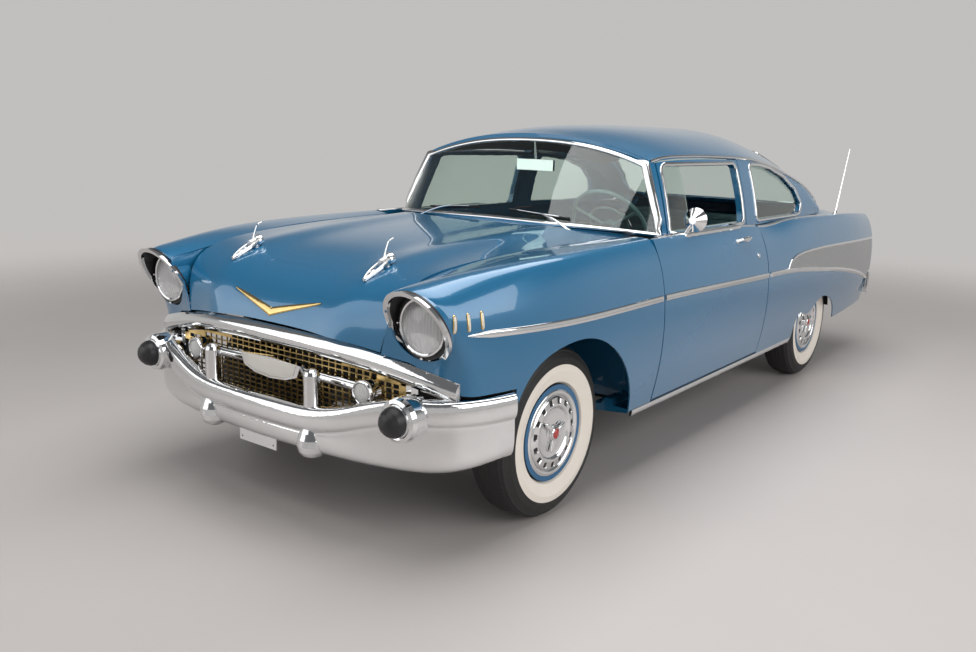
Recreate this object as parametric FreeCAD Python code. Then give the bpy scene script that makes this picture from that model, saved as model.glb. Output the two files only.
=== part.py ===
import FreeCAD, Part
import math
import os

# A two-door family car of the late 1950s, in millimetres.
# X points to the car's left, Y to the rear and Z up.
# The origin is on the ground, under the middle of the overall length.

V = FreeCAD.Vector

# Overall sizes
OVERALL_LENGTH = 5080.0
WHEELBASE = 2921.0
FRONT_OVERHANG = 825.0
FRONT_TRACK = 1473.0
REAR_TRACK = 1494.0
BODY_HALF_WIDTH = 936.0
ROOF_TOP = 1537.0

NOSE = -OVERALL_LENGTH / 2
FRONT_AXLE = NOSE + FRONT_OVERHANG
REAR_AXLE = FRONT_AXLE + WHEELBASE
TAIL = OVERALL_LENGTH / 2

# Wheels and tyres
TYRE_RADIUS = 343.0
TYRE_WIDTH = 194.0
RIM_RADIUS = 178.0
RIM_WIDTH = 146.0
HUB_BORE_RADIUS = 16.0
SPINDLE_CLEARANCE = 0.05

# Panel gaps and thicknesses
PANEL_GAP = 8.0
SHEET = 6.0
DOOR_THICKNESS = 95.0
DOOR_FRAME_THICKNESS = 34.0
LID_THICKNESS = 20.0
LID_PIN_RADIUS = 5.0
LID_ARM_X = 640.0
LID_ARM_WIDTH = 14.0
ROOF_THICKNESS = 34.0
GLASS_THICKNESS = 6.0
SEAT_CLEARANCE = 0.3

# Body lines
WAIST_HEIGHT = 640.0
SILL_HEIGHT = 345.0
DOOR_FRONT = FRONT_AXLE + 669.0
DOOR_REAR = DOOR_FRONT + 1216.0
HINGE_X = BODY_HALF_WIDTH - 70.0
HINGE_SETBACK = 45.0
FRONT_ARCH_RADIUS = 392.0
REAR_ARCH_RADIUS = 385.0
FRAME_X = 375.0
FRAME_BOTTOM = 205.0
FRAME_DEPTH = 110.0
FLOOR_HEIGHT = 330.0
KINGPIN_X = 665.0


def through(points):
    """Smooth curve through (position, value) pairs that doesn't overshoot between them."""
    xs = [float(p[0]) for p in points]
    ys = [float(p[1]) for p in points]
    last = len(xs) - 1
    slopes = [(ys[i + 1] - ys[i]) / (xs[i + 1] - xs[i]) for i in range(last)]
    tangents = [slopes[0]]
    for i in range(1, last):
        if slopes[i - 1] * slopes[i] <= 0:
            tangents.append(0.0)
        else:
            w0 = 2 * (xs[i + 1] - xs[i]) + (xs[i] - xs[i - 1])
            w1 = (xs[i + 1] - xs[i]) + 2 * (xs[i] - xs[i - 1])
            tangents.append((w0 + w1) / (w0 / slopes[i - 1] + w1 / slopes[i]))
    tangents.append(slopes[-1])

    def value(x):
        x = min(max(x, xs[0]), xs[-1])
        i = 0
        while i < last - 1 and x > xs[i + 1]:
            i += 1
        h = xs[i + 1] - xs[i]
        t = (x - xs[i]) / h
        a = (1 + 2 * t) * (1 - t) ** 2
        b = t * (1 - t) ** 2
        c = t * t * (3 - 2 * t)
        d = t * t * (t - 1)
        return a * ys[i] + b * h * tangents[i] + c * ys[i + 1] + d * h * tangents[i + 1]

    return value


def steps(start, end, count):
    """Evenly spaced values from start to end."""
    return [start + (end - start) * i / (count - 1) for i in range(count)]


def knot_layout(count):
    """Degree, knots and their repeats of an open spline with so many control points."""
    degree = min(3, count - 1)
    inner = count - degree - 1
    return degree, [degree + 1] + [1] * inner + [degree + 1], [float(i) for i in range(inner + 2)]


def surface(grid):
    """Smooth surface drawn by a net of control points, which it meets at its edges' ends."""
    u_degree, u_repeats, u_knots = knot_layout(len(grid))
    v_degree, v_repeats, v_knots = knot_layout(len(grid[0]))
    result = Part.BSplineSurface()
    result.buildFromPolesMultsKnots(grid, u_repeats, v_repeats, u_knots, v_knots, False, False, u_degree, v_degree)
    return result


def panel(outer, inner):
    """Solid between two nets of the same size, closed by ruled edges."""
    nets = [outer, inner, [outer[0], inner[0]], [outer[-1], inner[-1]],
            [[row[0] for row in outer], [row[0] for row in inner]],
            [[row[-1] for row in outer], [row[-1] for row in inner]]]
    shell = Part.Shell([surface(net).toShape() for net in nets])
    shell.sewShape()
    solid = Part.Solid(shell)
    if solid.Volume < 0:
        solid.reverse()
    return solid


def offset(grid, distance):
    """The grid moved along its own normals, which are worked out from neighbouring points."""
    rows = len(grid)
    cols = len(grid[0])
    moved = []
    for i in range(rows):
        line = []
        for j in range(cols):
            du = grid[min(i + 1, rows - 1)][j] - grid[max(i - 1, 0)][j]
            dv = grid[i][min(j + 1, cols - 1)] - grid[i][max(j - 1, 0)]
            normal = du.cross(dv)
            normal.normalize()
            line.append(grid[i][j] + normal * distance)
        moved.append(line)
    return moved


def box(x0, x1, y0, y1, z0, z1):
    """Box between two corners."""
    return Part.makeBox(x1 - x0, y1 - y0, z1 - z0, V(x0, y0, z0))


def rod(start, end, radius):
    """Round bar between two points."""
    direction = end - start
    return Part.makeCylinder(radius, direction.Length, start, direction)


def outward(solid):
    """The solid with its faces turned outwards."""
    if solid.Volume < 0:
        solid.reverse()
    return solid


def prism(points, direction):
    """Flat outline carried along a direction."""
    wire = Part.makePolygon(points + [points[0]])
    solid = Part.Face(wire).extrude(direction)
    if solid.Volume < 0:
        solid.reverse()
    return solid


def turned(profile, axis_point, axis):
    """Closed outline turned once round an axis."""
    wire = Part.makePolygon(profile + [profile[0]])
    solid = Part.Face(wire).revolve(axis_point, axis, 360)
    if solid.Volume < 0:
        solid.reverse()
    return solid


def ring(radius, thickness, centre_z, sides=8):
    """Ring of many-sided section round the z axis."""
    profile = []
    for i in range(sides):
        angle = math.radians(360.0 * (i + 0.5) / sides)
        profile.append(V(radius + thickness * math.cos(angle), 0, centre_z + thickness * math.sin(angle)))
    return turned(profile, V(0, 0, 0), V(0, 0, 1))


def fused(shapes):
    """Pieces that are welded together."""
    result = shapes[0].multiFuse(shapes[1:]).removeSplitter()
    if result.Volume < 0:
        result.reverse()
    return result


def mirrored(shape):
    """The same piece on the other side of the car."""
    return shape.mirror(V(0, 0, 0), V(1, 0, 0))


def both(shape):
    """The piece and its mirror image, as two solids of one node."""
    return Part.makeCompound([shape, mirrored(shape)])


def save(name, shape):
    """Write one piece to its own file."""
    shape.exportStep("parts/" + name + ".step")


# Lines of the body side
half_width = through([(NOSE + 110, -122), (NOSE + 210, -80), (NOSE + 390, -44), (FRONT_AXLE - 185, -12),
                      (FRONT_AXLE + 115, -2), (DOOR_FRONT, 0), (REAR_AXLE - 600, 0), (REAR_AXLE, -4),
                      (REAR_AXLE + 600, -15), (TAIL - 290, -38), (TAIL - 100, -58)])
crown_inset = through([(NOSE + 110, 146), (NOSE + 220, 104), (NOSE + 530, 76), (FRONT_AXLE, 72),
                       (DOOR_FRONT, 84), (DOOR_REAR, 88), (REAR_AXLE, 76), (REAR_AXLE + 600, 76), (TAIL - 100, 84)])
crown_height = through([(NOSE + 110, 984), (NOSE + 220, 1000), (NOSE + 530, 1028), (FRONT_AXLE, 1042),
                        (DOOR_FRONT - 150, 1050), (DOOR_FRONT + 350, 1048), (DOOR_REAR - 266, 1040),
                        (DOOR_REAR, 1024), (DOOR_REAR + 160, 1007), (DOOR_REAR + 300, 1022),
                        (DOOR_REAR + 540, 1032), (REAR_AXLE - 300, 1030), (REAR_AXLE, 1022),
                        (REAR_AXLE + 400, 1010), (REAR_AXLE + 800, 992), (TAIL - 240, 974), (TAIL - 100, 962)])
bottom_height = through([(NOSE + 110, 350), (DOOR_FRONT, SILL_HEIGHT - 12), (REAR_AXLE - 450, SILL_HEIGHT - 27),
                         (TAIL - 100, 350)])
TUCK_UNDER = 46.0


def side_x(y, z):
    """Half-width of the body side at a place: tucked under below the waist, leaning in above it."""
    wide = BODY_HALF_WIDTH + half_width(y)
    if z < WAIST_HEIGHT:
        share = (WAIST_HEIGHT - z) / (WAIST_HEIGHT - bottom_height(y))
        return wide - TUCK_UNDER * share ** 2
    share = (z - WAIST_HEIGHT) / (crown_height(y) - WAIST_HEIGHT)
    return wide - crown_inset(y) * share ** 3


def crown_x(y):
    """Half-width at the crown of the body side."""
    return BODY_HALF_WIDTH + half_width(y) - crown_inset(y)


# Front and rear wheel arches
def arch_tool(axle, radius, top):
    """Wheel opening: flat-topped arch that widens towards the ground."""
    points = [V(600, axle - radius - 60, 200), V(600, axle - radius, 470), V(600, axle - radius * 0.72, top - 62),
              V(600, axle - radius * 0.3, top), V(600, axle + radius * 0.25, top - 6),
              V(600, axle + radius * 0.68, top - 88), V(600, axle + radius * 0.98, top - 210),
              V(600, axle + radius + 90, 200)]
    curve = Part.BSplineCurve()
    curve.interpolate(points)
    wire = Part.Wire([curve.toShape(), Part.makeLine(points[-1], points[0])])
    return Part.Face(wire).extrude(V(420, 0, 0))


FRONT_ARCH_TOP = 728.0
REAR_ARCH_TOP = 512.0
front_arch = arch_tool(FRONT_AXLE, FRONT_ARCH_RADIUS, FRONT_ARCH_TOP)
rear_arch = arch_tool(REAR_AXLE, REAR_ARCH_RADIUS, REAR_ARCH_TOP)

# Hood edge, from the cowl forward and down the nose, with its centre line
HOOD_REAR_EDGE = DOOR_FRONT - 79.0
HOOD_REAR_BOW = 90.0
HOOD_HINGE_Y = HOOD_REAR_EDGE + 30
HOOD_HINGE_Z = 1020.0
HOOD_STATIONS = 10
hood_edge = [V(692, HOOD_REAR_EDGE, 1046), V(664, FRONT_AXLE + 315, 1046), V(640, FRONT_AXLE + 15, 1041),
             V(618, FRONT_AXLE - 285, 1024), V(604, NOSE + 390, 1008), V(594, NOSE + 290, 985),
             V(583, NOSE + 215, 940), V(570, NOSE + 175, 880), V(552, NOSE + 156, 806), V(534, NOSE + 150, 740)]
hood_centre = [V(0, HOOD_REAR_EDGE - HOOD_REAR_BOW, 1080), V(0, FRONT_AXLE + 255, 1069), V(0, FRONT_AXLE - 45, 1053),
               V(0, FRONT_AXLE - 315, 1024), V(0, NOSE + 370, 990), V(0, NOSE + 260, 950),
               V(0, NOSE + 190, 905), V(0, NOSE + 150, 862), V(0, NOSE + 124, 822), V(0, NOSE + 110, 777)]
WIND_SPLIT_AT = 0.62
WIND_SPLIT_HEIGHT = 16.0


def hood_point(station, across):
    """Point of the hood: across is 0 on the centre line and 1 on the edge."""
    side = abs(across)
    centre = hood_centre[station]
    edge = hood_edge[station]
    bow = side ** 2.2
    ridge = WIND_SPLIT_HEIGHT * math.exp(-((side - WIND_SPLIT_AT) / 0.13) ** 2)
    y = centre.y + (edge.y - centre.y) * bow
    z = centre.z + (edge.z - centre.z) * bow
    steep = station / (HOOD_STATIONS - 1.0)
    return V(edge.x * across, y - ridge * steep ** 2, z + ridge * (1 - steep ** 2))


def make_hood():
    """Hood panel with two raised wind splits and its hinge arms."""
    across = steps(-1, 1, 19)
    outer = [[hood_point(k, a) for a in across] for k in range(HOOD_STATIONS)]
    inner = offset(outer, -LID_THICKNESS)
    inner[0] = [V(p.x, p.y - LID_THICKNESS, p.z) for p in inner[0]]
    arm = hinge_arm(HOOD_HINGE_Y, HOOD_HINGE_Z, -1)
    hood = fused([panel(outer, inner), arm, mirrored(arm)])
    bore = hinge_bore(HOOD_HINGE_Y, HOOD_HINGE_Z)
    return hood.cut(bore).cut(mirrored(bore))


# Headlamp nacelles
LAMP_X = BODY_HALF_WIDTH - 230.0
LAMP_Z = 852.0
NACELLE_RADIUS = 127.0
BEZEL_FACE_LEAN = 142.0 / 248.0
BEZEL_REAR_LEAN = 0.463
BEZEL_DEPTH = 20.0
BEZEL_FACE = NOSE + 139.0


def bezel_y(z):
    """Place along the car of the bezel's rear edge, which leans forward at the top."""
    return BEZEL_FACE + BEZEL_DEPTH - BEZEL_REAR_LEAN * (z - LAMP_Z)


FENDER_REAR = DOOR_FRONT - PANEL_GAP
fender_front_y = through([(300, NOSE + 246), (560, NOSE + 242), (700, NOSE + 238), (770, bezel_y(770)),
                          (LAMP_Z, bezel_y(LAMP_Z)), (980, bezel_y(980))])
FENDER_HEIGHTS = [0.0, 0.2, 0.4, 0.55, 0.7, 0.82, 0.92]
FRONT_ROUNDING = [1.0, 0.8, 0.45, 0.15, 0.0, 0.0, 0.0, 0.0, 0.0]


def lamp_section():
    """Front edge of the fender as (x, z): up the side, round the outside of the lamp and over it to the hood."""
    x = LAMP_X
    z = LAMP_Z
    return [(x + 142, 350), (x + 146, 476), (x + 148, 602), (x + 145, 696), (x + 134, z - 60), (x + 132, z + 14),
            (x + 106, z + 80), (x + 66, z + 114), (x + 26, z + 131), (x - 20, z + 134), (x - 72, z + 124),
            (hood_side_x(NOSE + 130) + PANEL_GAP, z + 102)]


def nose_rows():
    """Three sections of the fender's front, from the hood's edge out towards the lamp."""
    rows = []
    inner = [(518, 300), (518, 476), (518, 602), (522, 696), (544, 780), (564, 845), (574, 872), (583, 888), (592, 901),
             (601, 909), (605, 910), (597, 904)]
    section = lamp_section()
    for share, crowd, forward in ((1.0, 1.0, 1.0), (0.65, 0.7, 0.3), (0.3, 0.35, 0.06)):
        line = []
        for (x0, z0), (x1, z1) in zip(section, inner):
            x = x0 + (x1 + PANEL_GAP - x0) * share
            z = z0 + (z1 - z0) * crowd
            side_y = fender_front_y(z0)
            chin = 34 * share * (1 - share) * 4 if z0 < LAMP_Z - 100 else 0.0
            hood_y = NOSE + 148
            line.append(V(x, side_y - chin + (hood_y - side_y + chin) * forward, z))
        rows.append(line)
    return rows


def make_fender():
    """Left front fender: side, crown, top strip and rounded nose under the lamp in one sheet, cut for wheel and lamp."""
    outer = nose_rows()
    front_section = lamp_section()
    for s, rounding in zip([0.0, 0.06, 0.14, 0.26, 0.4, 0.55, 0.7, 0.85, 1.0], FRONT_ROUNDING):
        line = []
        for t in FENDER_HEIGHTS:
            front = fender_front_y(350 + 630 * t)
            y = front + (FENDER_REAR - front) * s
            z = bottom_height(y) + (crown_height(y) - bottom_height(y)) * t
            line.append(V(side_x(y, z), y, z))
        front = fender_front_y(980)
        y = front + (FENDER_REAR - front) * s
        edge_x, edge_z = hood_side(y)
        top_x = crown_x(y)
        top_z = crown_height(y)
        line.append(V(top_x - 2, y, top_z - 7))
        line.append(V(top_x - 20, y, top_z + 3))
        line.append(V(top_x - 50, y, top_z + 6))
        line.append(V((top_x - 50 + edge_x + PANEL_GAP) / 2, y, (top_z + 6 + edge_z) / 2 + 2))
        line.append(V(edge_x + PANEL_GAP, y, edge_z))
        widen = side_x(line[2].y, WAIST_HEIGHT) - side_x(fender_front_y(602), WAIST_HEIGHT)
        rise = crown_height(y) - crown_height(front)
        blended = []
        for k, ((x, z), p) in enumerate(zip(front_section, line)):
            grow = 1.0 if k < 8 else (11 - k) / 4.0
            near = V(x + widen * grow, p.y, z + rise * max(0.0, (z - WAIST_HEIGHT) / 344))
            blended.append(near * rounding + p * (1 - rounding))
        outer.append(blended)
    sheet = panel(outer, offset(outer, -SHEET))
    sheet = sheet.cut(front_arch)
    skirt = [V(400, NOSE, 300), V(1000, NOSE, 300), V(1000, NOSE, 618), V(900, NOSE, 616), V(822, NOSE, 624),
             V(700, NOSE, 672), V(664, NOSE, 708), V(640, NOSE, 717), V(560, NOSE, 731), V(519, NOSE, 738),
             V(400, NOSE, 745)]
    sheet = sheet.cut(prism(skirt, V(0, FRONT_AXLE - 370 - NOSE, 0)))
    sheet = sheet.cut(rod(V(LAMP_X, NOSE - 20, LAMP_Z), V(LAMP_X, BEZEL_FACE + 240, LAMP_Z), NACELLE_RADIUS - SHEET - 1))
    return fused([sheet, lamp_nacelle()])


hood_side_x = through([(NOSE + 120, 590), (NOSE + 290, 594), (NOSE + 390, 604), (FRONT_AXLE - 285, 618),
                       (FRONT_AXLE + 15, 640), (FRONT_AXLE + 315, 664), (HOOD_REAR_EDGE, 692), (DOOR_FRONT, 698)])
hood_side_z = through([(NOSE + 120, 950), (NOSE + 290, 985), (NOSE + 390, 1008), (FRONT_AXLE - 285, 1024),
                       (FRONT_AXLE + 15, 1041), (FRONT_AXLE + 315, 1046), (HOOD_REAR_EDGE, 1046), (DOOR_FRONT, 1047)])


def hood_side(y):
    """Half-width and height of the hood's edge along the fender."""
    return hood_side_x(y), hood_side_z(y)


def slanted_tube(outer, inner, front, front_lean, rear, rear_lean):
    """Round tube along the car round the lamp's axis, its two ends leaning forward at the top."""
    length = 700.0
    start = V(LAMP_X, front - 200, LAMP_Z)
    tube = Part.makeCylinder(outer, length, start, V(0, 1, 0))
    tube = tube.cut(Part.makeCylinder(inner, length, start, V(0, 1, 0)))
    reach = 300.0
    corners = [V(0, front + front_lean * reach, LAMP_Z - reach), V(0, front - front_lean * reach, LAMP_Z + reach),
               V(0, rear - rear_lean * reach, LAMP_Z + reach), V(0, rear + rear_lean * reach, LAMP_Z - reach)]
    return tube.common(prism([V(LAMP_X - reach, p.y, p.z) for p in corners], V(2 * reach, 0, 0)))


def lamp_nacelle():
    """Short tube at the fender's front end that the lamp bezel seats on."""
    start = BEZEL_FACE + BEZEL_DEPTH
    return slanted_tube(NACELLE_RADIUS - 1, NACELLE_RADIUS - 1 - SHEET, start, BEZEL_REAR_LEAN, start + 60, BEZEL_REAR_LEAN)


def make_headlamps():
    """Hooded bezel, bucket and lens of each headlamp."""
    rear = BEZEL_FACE + BEZEL_DEPTH
    sleeve_radius = NACELLE_RADIUS - 1 - SHEET - SEAT_CLEARANCE
    bezel = slanted_tube(NACELLE_RADIUS + 3, NACELLE_RADIUS - 13, BEZEL_FACE, BEZEL_FACE_LEAN, rear, BEZEL_REAR_LEAN)
    sleeve = slanted_tube(sleeve_radius, NACELLE_RADIUS - 13, rear - 2, BEZEL_REAR_LEAN, rear + 72, BEZEL_REAR_LEAN)
    lens_y = BEZEL_FACE + 34
    profile = [V(LAMP_X, lens_y + 90, LAMP_Z), V(LAMP_X + NACELLE_RADIUS - 20, lens_y + 90, LAMP_Z),
               V(LAMP_X + NACELLE_RADIUS - 20, lens_y + 34, LAMP_Z), V(LAMP_X + 98, lens_y + 22, LAMP_Z),
               V(LAMP_X + 90, lens_y + 8, LAMP_Z), V(LAMP_X + 60, lens_y - 4, LAMP_Z),
               V(LAMP_X, lens_y - 12, LAMP_Z)]
    bucket = turned(profile, V(LAMP_X, 0, LAMP_Z), V(0, 1, 0))
    ring = turned([V(LAMP_X + 100, lens_y + 60, LAMP_Z), V(LAMP_X + sleeve_radius - 1, lens_y + 60, LAMP_Z),
                   V(LAMP_X + sleeve_radius - 1, lens_y + 80, LAMP_Z), V(LAMP_X + 100, lens_y + 80, LAMP_Z)],
                  V(LAMP_X, 0, LAMP_Z), V(0, 1, 0))
    return fused([bezel, sleeve, bucket, ring])


# Doors
HINGE_Y = DOOR_FRONT + HINGE_SETBACK
HINGE_PIN_RADIUS = 7.0
HINGE_HEIGHTS = (470.0, 860.0)
HINGE_POCKET = 30.0
HINGE_INNER = HINGE_X - 31.0

belt_x = through([(DOOR_FRONT, 800), (DOOR_FRONT + 265, 788), (DOOR_REAR, 782), (REAR_AXLE, 774), (REAR_AXLE + 250, 768)])
belt_z = through([(DOOR_FRONT, 1042), (DOOR_REAR, 1030), (REAR_AXLE, 1024), (REAR_AXLE + 250, 1020)])
ROOF_FRONT = DOOR_FRONT + 275.0
ROOF_REAR = REAR_AXLE + 200.0
rail_x = through([(ROOF_FRONT, 650), (ROOF_FRONT + 175, 682), (ROOF_FRONT + 475, 690), (DOOR_REAR + 330, 692),
                  (DOOR_REAR + 580, 692), (REAR_AXLE - 205, 702), (REAR_AXLE + 75, 735), (REAR_AXLE + 250, 764)])
rail_z = through([(ROOF_FRONT, 1372), (ROOF_FRONT + 165, 1386), (ROOF_FRONT + 470, 1389), (DOOR_REAR - 120, 1383),
                  (DOOR_REAR + 230, 1370), (DOOR_REAR + 580, 1320), (REAR_AXLE - 205, 1262), (REAR_AXLE + 75, 1170),
                  (REAR_AXLE + 250, 1034)])
roof_z = through([(ROOF_FRONT - 20, 1474), (ROOF_FRONT + 160, 1508), (ROOF_FRONT + 560, ROOF_TOP),
                  (DOOR_REAR + 500, ROOF_TOP), (REAR_AXLE - 256, 1508), (REAR_AXLE - 106, 1458),
                  (REAR_AXLE + 44, 1360), (REAR_AXLE + 174, 1225), (REAR_AXLE + 284, 1078)])
SIDE_BULGE = 10.0


def greenhouse_point(y, t):
    """Point of the upper side: t is 0 at the belt and 1 at the roof rail."""
    x = belt_x(y) + (rail_x(y) - belt_x(y)) * t + SIDE_BULGE * 4 * t * (1 - t)
    return V(x, y, belt_z(y) + (rail_z(y) - belt_z(y)) * t)


def window_cut(points):
    """Window opening: rounded outline in side view, cut through the whole upper side."""
    corners = [V(500, y, z) for y, z in points]
    wire = Part.makePolygon(corners + [corners[0]])
    return Part.Face(wire).extrude(V(420, 0, 0))


DOOR_WINDOW = [(DOOR_FRONT + 312, 1052), (DOOR_REAR - 42, 1046), (DOOR_REAR - 36, 1100), (DOOR_REAR - 36, 1325),
               (DOOR_REAR - 60, 1342), (DOOR_FRONT + 400, 1346), (DOOR_FRONT + 372, 1332)]
QUARTER_WINDOW = [(DOOR_REAR + 165, 1046), (DOOR_REAR + 780, 1040), (DOOR_REAR + 860, 1052), (DOOR_REAR + 900, 1095),
                  (DOOR_REAR + 850, 1175), (DOOR_REAR + 700, 1255), (DOOR_REAR + 480, 1310), (DOOR_REAR + 300, 1330),
                  (DOOR_REAR + 185, 1334), (DOOR_REAR + 165, 1320)]


def make_door():
    """Left door: thick lower part, window frame above the belt, hinge pockets and pin bores."""
    front = DOOR_FRONT
    rear = DOOR_REAR
    outer = []
    inner = []
    for y in steps(front, rear, 8):
        line = []
        inside = []
        for t in [0.0, 0.2, 0.4, 0.6, 0.78, 0.9, 1.0]:
            z = SILL_HEIGHT + (crown_height(y) - SILL_HEIGHT) * t
            x = side_x(y, z)
            line.append(V(x, y, z))
            near = max(0.0, min(1.0, (front + 300 - y) / 170))
            inside.append(V((x - DOOR_THICKNESS) * (1 - near) + min(HINGE_INNER, x - 14) * near, y, z))
        outer.append(line)
        inner.append(inside)
    lower = panel(outer, inner)
    frame_front = front + 275
    upper_outer = []
    for y in steps(frame_front, rear, 7):
        top = (rail_z(y) - 14 - belt_z(y)) / (rail_z(y) - belt_z(y))
        upper_outer.append([greenhouse_point(y, t) for t in steps(-0.12, top, 6)])
    upper = panel(upper_outer, offset(upper_outer, -DOOR_FRAME_THICKNESS))
    upper = upper.cut(window_cut(DOOR_WINDOW))
    slant = prism([V(500, frame_front - 50, 960), V(500, frame_front + 5, 1042), V(500, frame_front + 72, 1400),
                   V(500, frame_front - 50, 1400)], V(500, 0, 0))
    upper = upper.cut(slant)
    door = fused([lower, upper])
    for z in HINGE_HEIGHTS:
        door = door.cut(box(HINGE_X - 140, HINGE_X + 14, front - 20, HINGE_Y + 14, z - HINGE_POCKET, z + HINGE_POCKET))
    bore = rod(V(HINGE_X, HINGE_Y, SILL_HEIGHT + 60), V(HINGE_X, HINGE_Y, 930), HINGE_PIN_RADIUS + SPINDLE_CLEARANCE)
    return door.cut(bore)


def make_door_mirror():
    """Round mirror head on a short stalk, standing on the left door."""
    foot = V(838, DOOR_FRONT + 330, 1040)
    head = V(874, DOOR_FRONT + 362, 1112)
    stalk = rod(foot, head, 9)
    shell = Part.makeCone(18, 56, 34, head + V(0, -26, 0), V(0, 1, 0))
    return fused([stalk, shell])


def make_door_glass(window_up):
    """Side glass behind the door's window frame: the vent pane, and the main pane where it is wound up."""
    rows = []
    for y in steps(DOOR_FRONT + 290, DOOR_REAR - 20, 7):
        rows.append([greenhouse_point(y, t) for t in steps(-0.02, 0.9, 5)])
    outer = offset(rows, -DOOR_FRAME_THICKNESS / 2 + GLASS_THICKNESS / 2)
    inner = offset(rows, -DOOR_FRAME_THICKNESS / 2 - GLASS_THICKNESS / 2)
    glass = panel(outer, inner).common(window_cut(DOOR_WINDOW))
    divider = DOOR_FRONT + 545
    if window_up:
        return glass
    return glass.cut(box(500, 900, divider, DOOR_REAR + 50, 900, 1500))


# Roof with its pillars
def roof_point(y, across):
    """Point of the roof: across is 0 on the centre line and 1 on the rail."""
    side = abs(across)
    edge_x = rail_x(y)
    height = rail_z(y) + (roof_z(y) - rail_z(y)) * (1 - side ** 2.3)
    return V(edge_x * across, y, height)


BACKLIGHT = [(-600, 1060), (600, 1060), (618, 1150), (570, 1300), (470, 1385), (300, 1420), (0, 1430), (-300, 1420),
             (-470, 1385), (-570, 1300), (-618, 1150)]


WINDSHIELD_POST_FOOT = DOOR_FRONT + 226.0
WINDSHIELD_POST_HEAD = DOOR_FRONT + 294.0
POST_WIDTH = 36.0


def shell_row(y):
    """Section of the roof shell at one place: up the left side, over the roof and down the right side."""
    side = [greenhouse_point(y, t) for t in (-0.03, 0.25, 0.5, 0.75, 0.94)]
    over = [roof_point(y, a) for a in (1.0, 0.95, 0.82, 0.62, 0.4, 0.2)]
    left = side + over
    right = [V(-p.x, p.y, p.z) for p in reversed(left)]
    return left + [V(0, y, roof_z(y))] + right


def door_opening():
    """Side view of the left door's opening above the belt."""
    low = 900.0
    points = [V(560, WINDSHIELD_POST_FOOT + POST_WIDTH - 20, low), V(560, WINDSHIELD_POST_FOOT + POST_WIDTH, 1030)]
    for y in steps(WINDSHIELD_POST_HEAD + POST_WIDTH, DOOR_REAR + PANEL_GAP, 6):
        points.append(V(560, y, rail_z(y) - 8))
    points.append(V(560, DOOR_REAR + PANEL_GAP, low))
    return prism(points, V(400, 0, 0))


def make_roof():
    """Roof, windshield posts, door posts and rear quarters as one pressed shell with its windows cut."""
    rows = [WINDSHIELD_POST_FOOT - 10, ROOF_FRONT + 10, ROOF_FRONT + 120, ROOF_FRONT + 350, ROOF_FRONT + 650, DOOR_REAR,
            DOOR_REAR + 300, DOOR_REAR + 550, REAR_AXLE - 276, REAR_AXLE - 136, REAR_AXLE - 6, REAR_AXLE + 114,
            ROOF_REAR]
    outer = [shell_row(y) for y in rows]
    shell = panel(outer, offset(outer, -ROOF_THICKNESS))
    shell = shell.cut(prism([V(x, REAR_AXLE - 160, z) for x, z in BACKLIGHT], V(0, 600, 0)))
    post_front = [V(-900, WINDSHIELD_POST_FOOT - 60, 950), V(-900, WINDSHIELD_POST_FOOT - 3, 1015),
                  V(-900, WINDSHIELD_POST_HEAD, 1372), V(-900, ROOF_FRONT, 1600), V(-900, WINDSHIELD_POST_FOOT - 60, 1600)]
    shell = shell.cut(prism(post_front, V(1800, 0, 0)))
    shell = shell.cut(box(-640, 640, WINDSHIELD_POST_FOOT - 60, ROOF_FRONT, 950, 1600))
    quarter = window_cut(QUARTER_WINDOW)
    door = door_opening()
    return shell.cut(quarter).cut(mirrored(quarter)).cut(door).cut(mirrored(door))


WINDSHIELD_BASE = [(0, -32, 1079), (250, -26, 1077), (450, 4, 1071), (600, 52, 1064), (700, 114, 1056),
                   (752, 170, 1048), (776, 216, 1042)]


def make_windshield():
    """Wrap-round windshield glass."""
    base = WINDSHIELD_BASE
    head = []
    for x in (0, 220, 400, 520, 590, 626, 644):
        under_roof = roof_point(ROOF_FRONT, x / rail_x(ROOF_FRONT))
        head.append((x, ROOF_FRONT - DOOR_FRONT - 6, under_roof.z - 22))
    right = []
    for b, h in zip(base, head):
        line = []
        for t in steps(0, 1, 5):
            swell = 14 * 4 * t * (1 - t) * (1 - b[0] / 1600)
            line.append(V(b[0] + (h[0] - b[0]) * t, DOOR_FRONT + b[1] + (h[1] - b[1]) * t - swell,
                          b[2] + (h[2] - b[2]) * t + swell * 0.6))
        right.append(line)
    left = [[V(-p.x, p.y, p.z) for p in line] for line in reversed(right[1:])]
    rows = left + right
    return panel(rows, offset(rows, -GLASS_THICKNESS))


def make_fixed_glass(windshield):
    """Windshield, rear window and quarter windows."""
    rows = [REAR_AXLE - 152, REAR_AXLE - 80, REAR_AXLE + 10, REAR_AXLE + 90, REAR_AXLE + 174, REAR_AXLE + 232,
            REAR_AXLE + 290]
    across = steps(-0.88, 0.88, 9)
    outer = [[roof_point(y, a) for a in across] for y in rows]
    hole = prism([V(x * 0.999, REAR_AXLE - 160, 1240 + (z - 1240) * 0.998) for x, z in BACKLIGHT], V(0, 600, 0))
    backlight = panel(offset(outer, 12), offset(outer, 12 + GLASS_THICKNESS)).common(hole)
    rows = []
    for y in steps(DOOR_REAR + 150, DOOR_REAR + 930, 7):
        rows.append([greenhouse_point(y, t) for t in steps(0.0, 1.0, 5)])
    pane = panel(offset(rows, -16), offset(rows, -16 - GLASS_THICKNESS)).common(window_cut(QUARTER_WINDOW))
    return Part.makeCompound([windshield, backlight, pane, mirrored(pane)])


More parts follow.
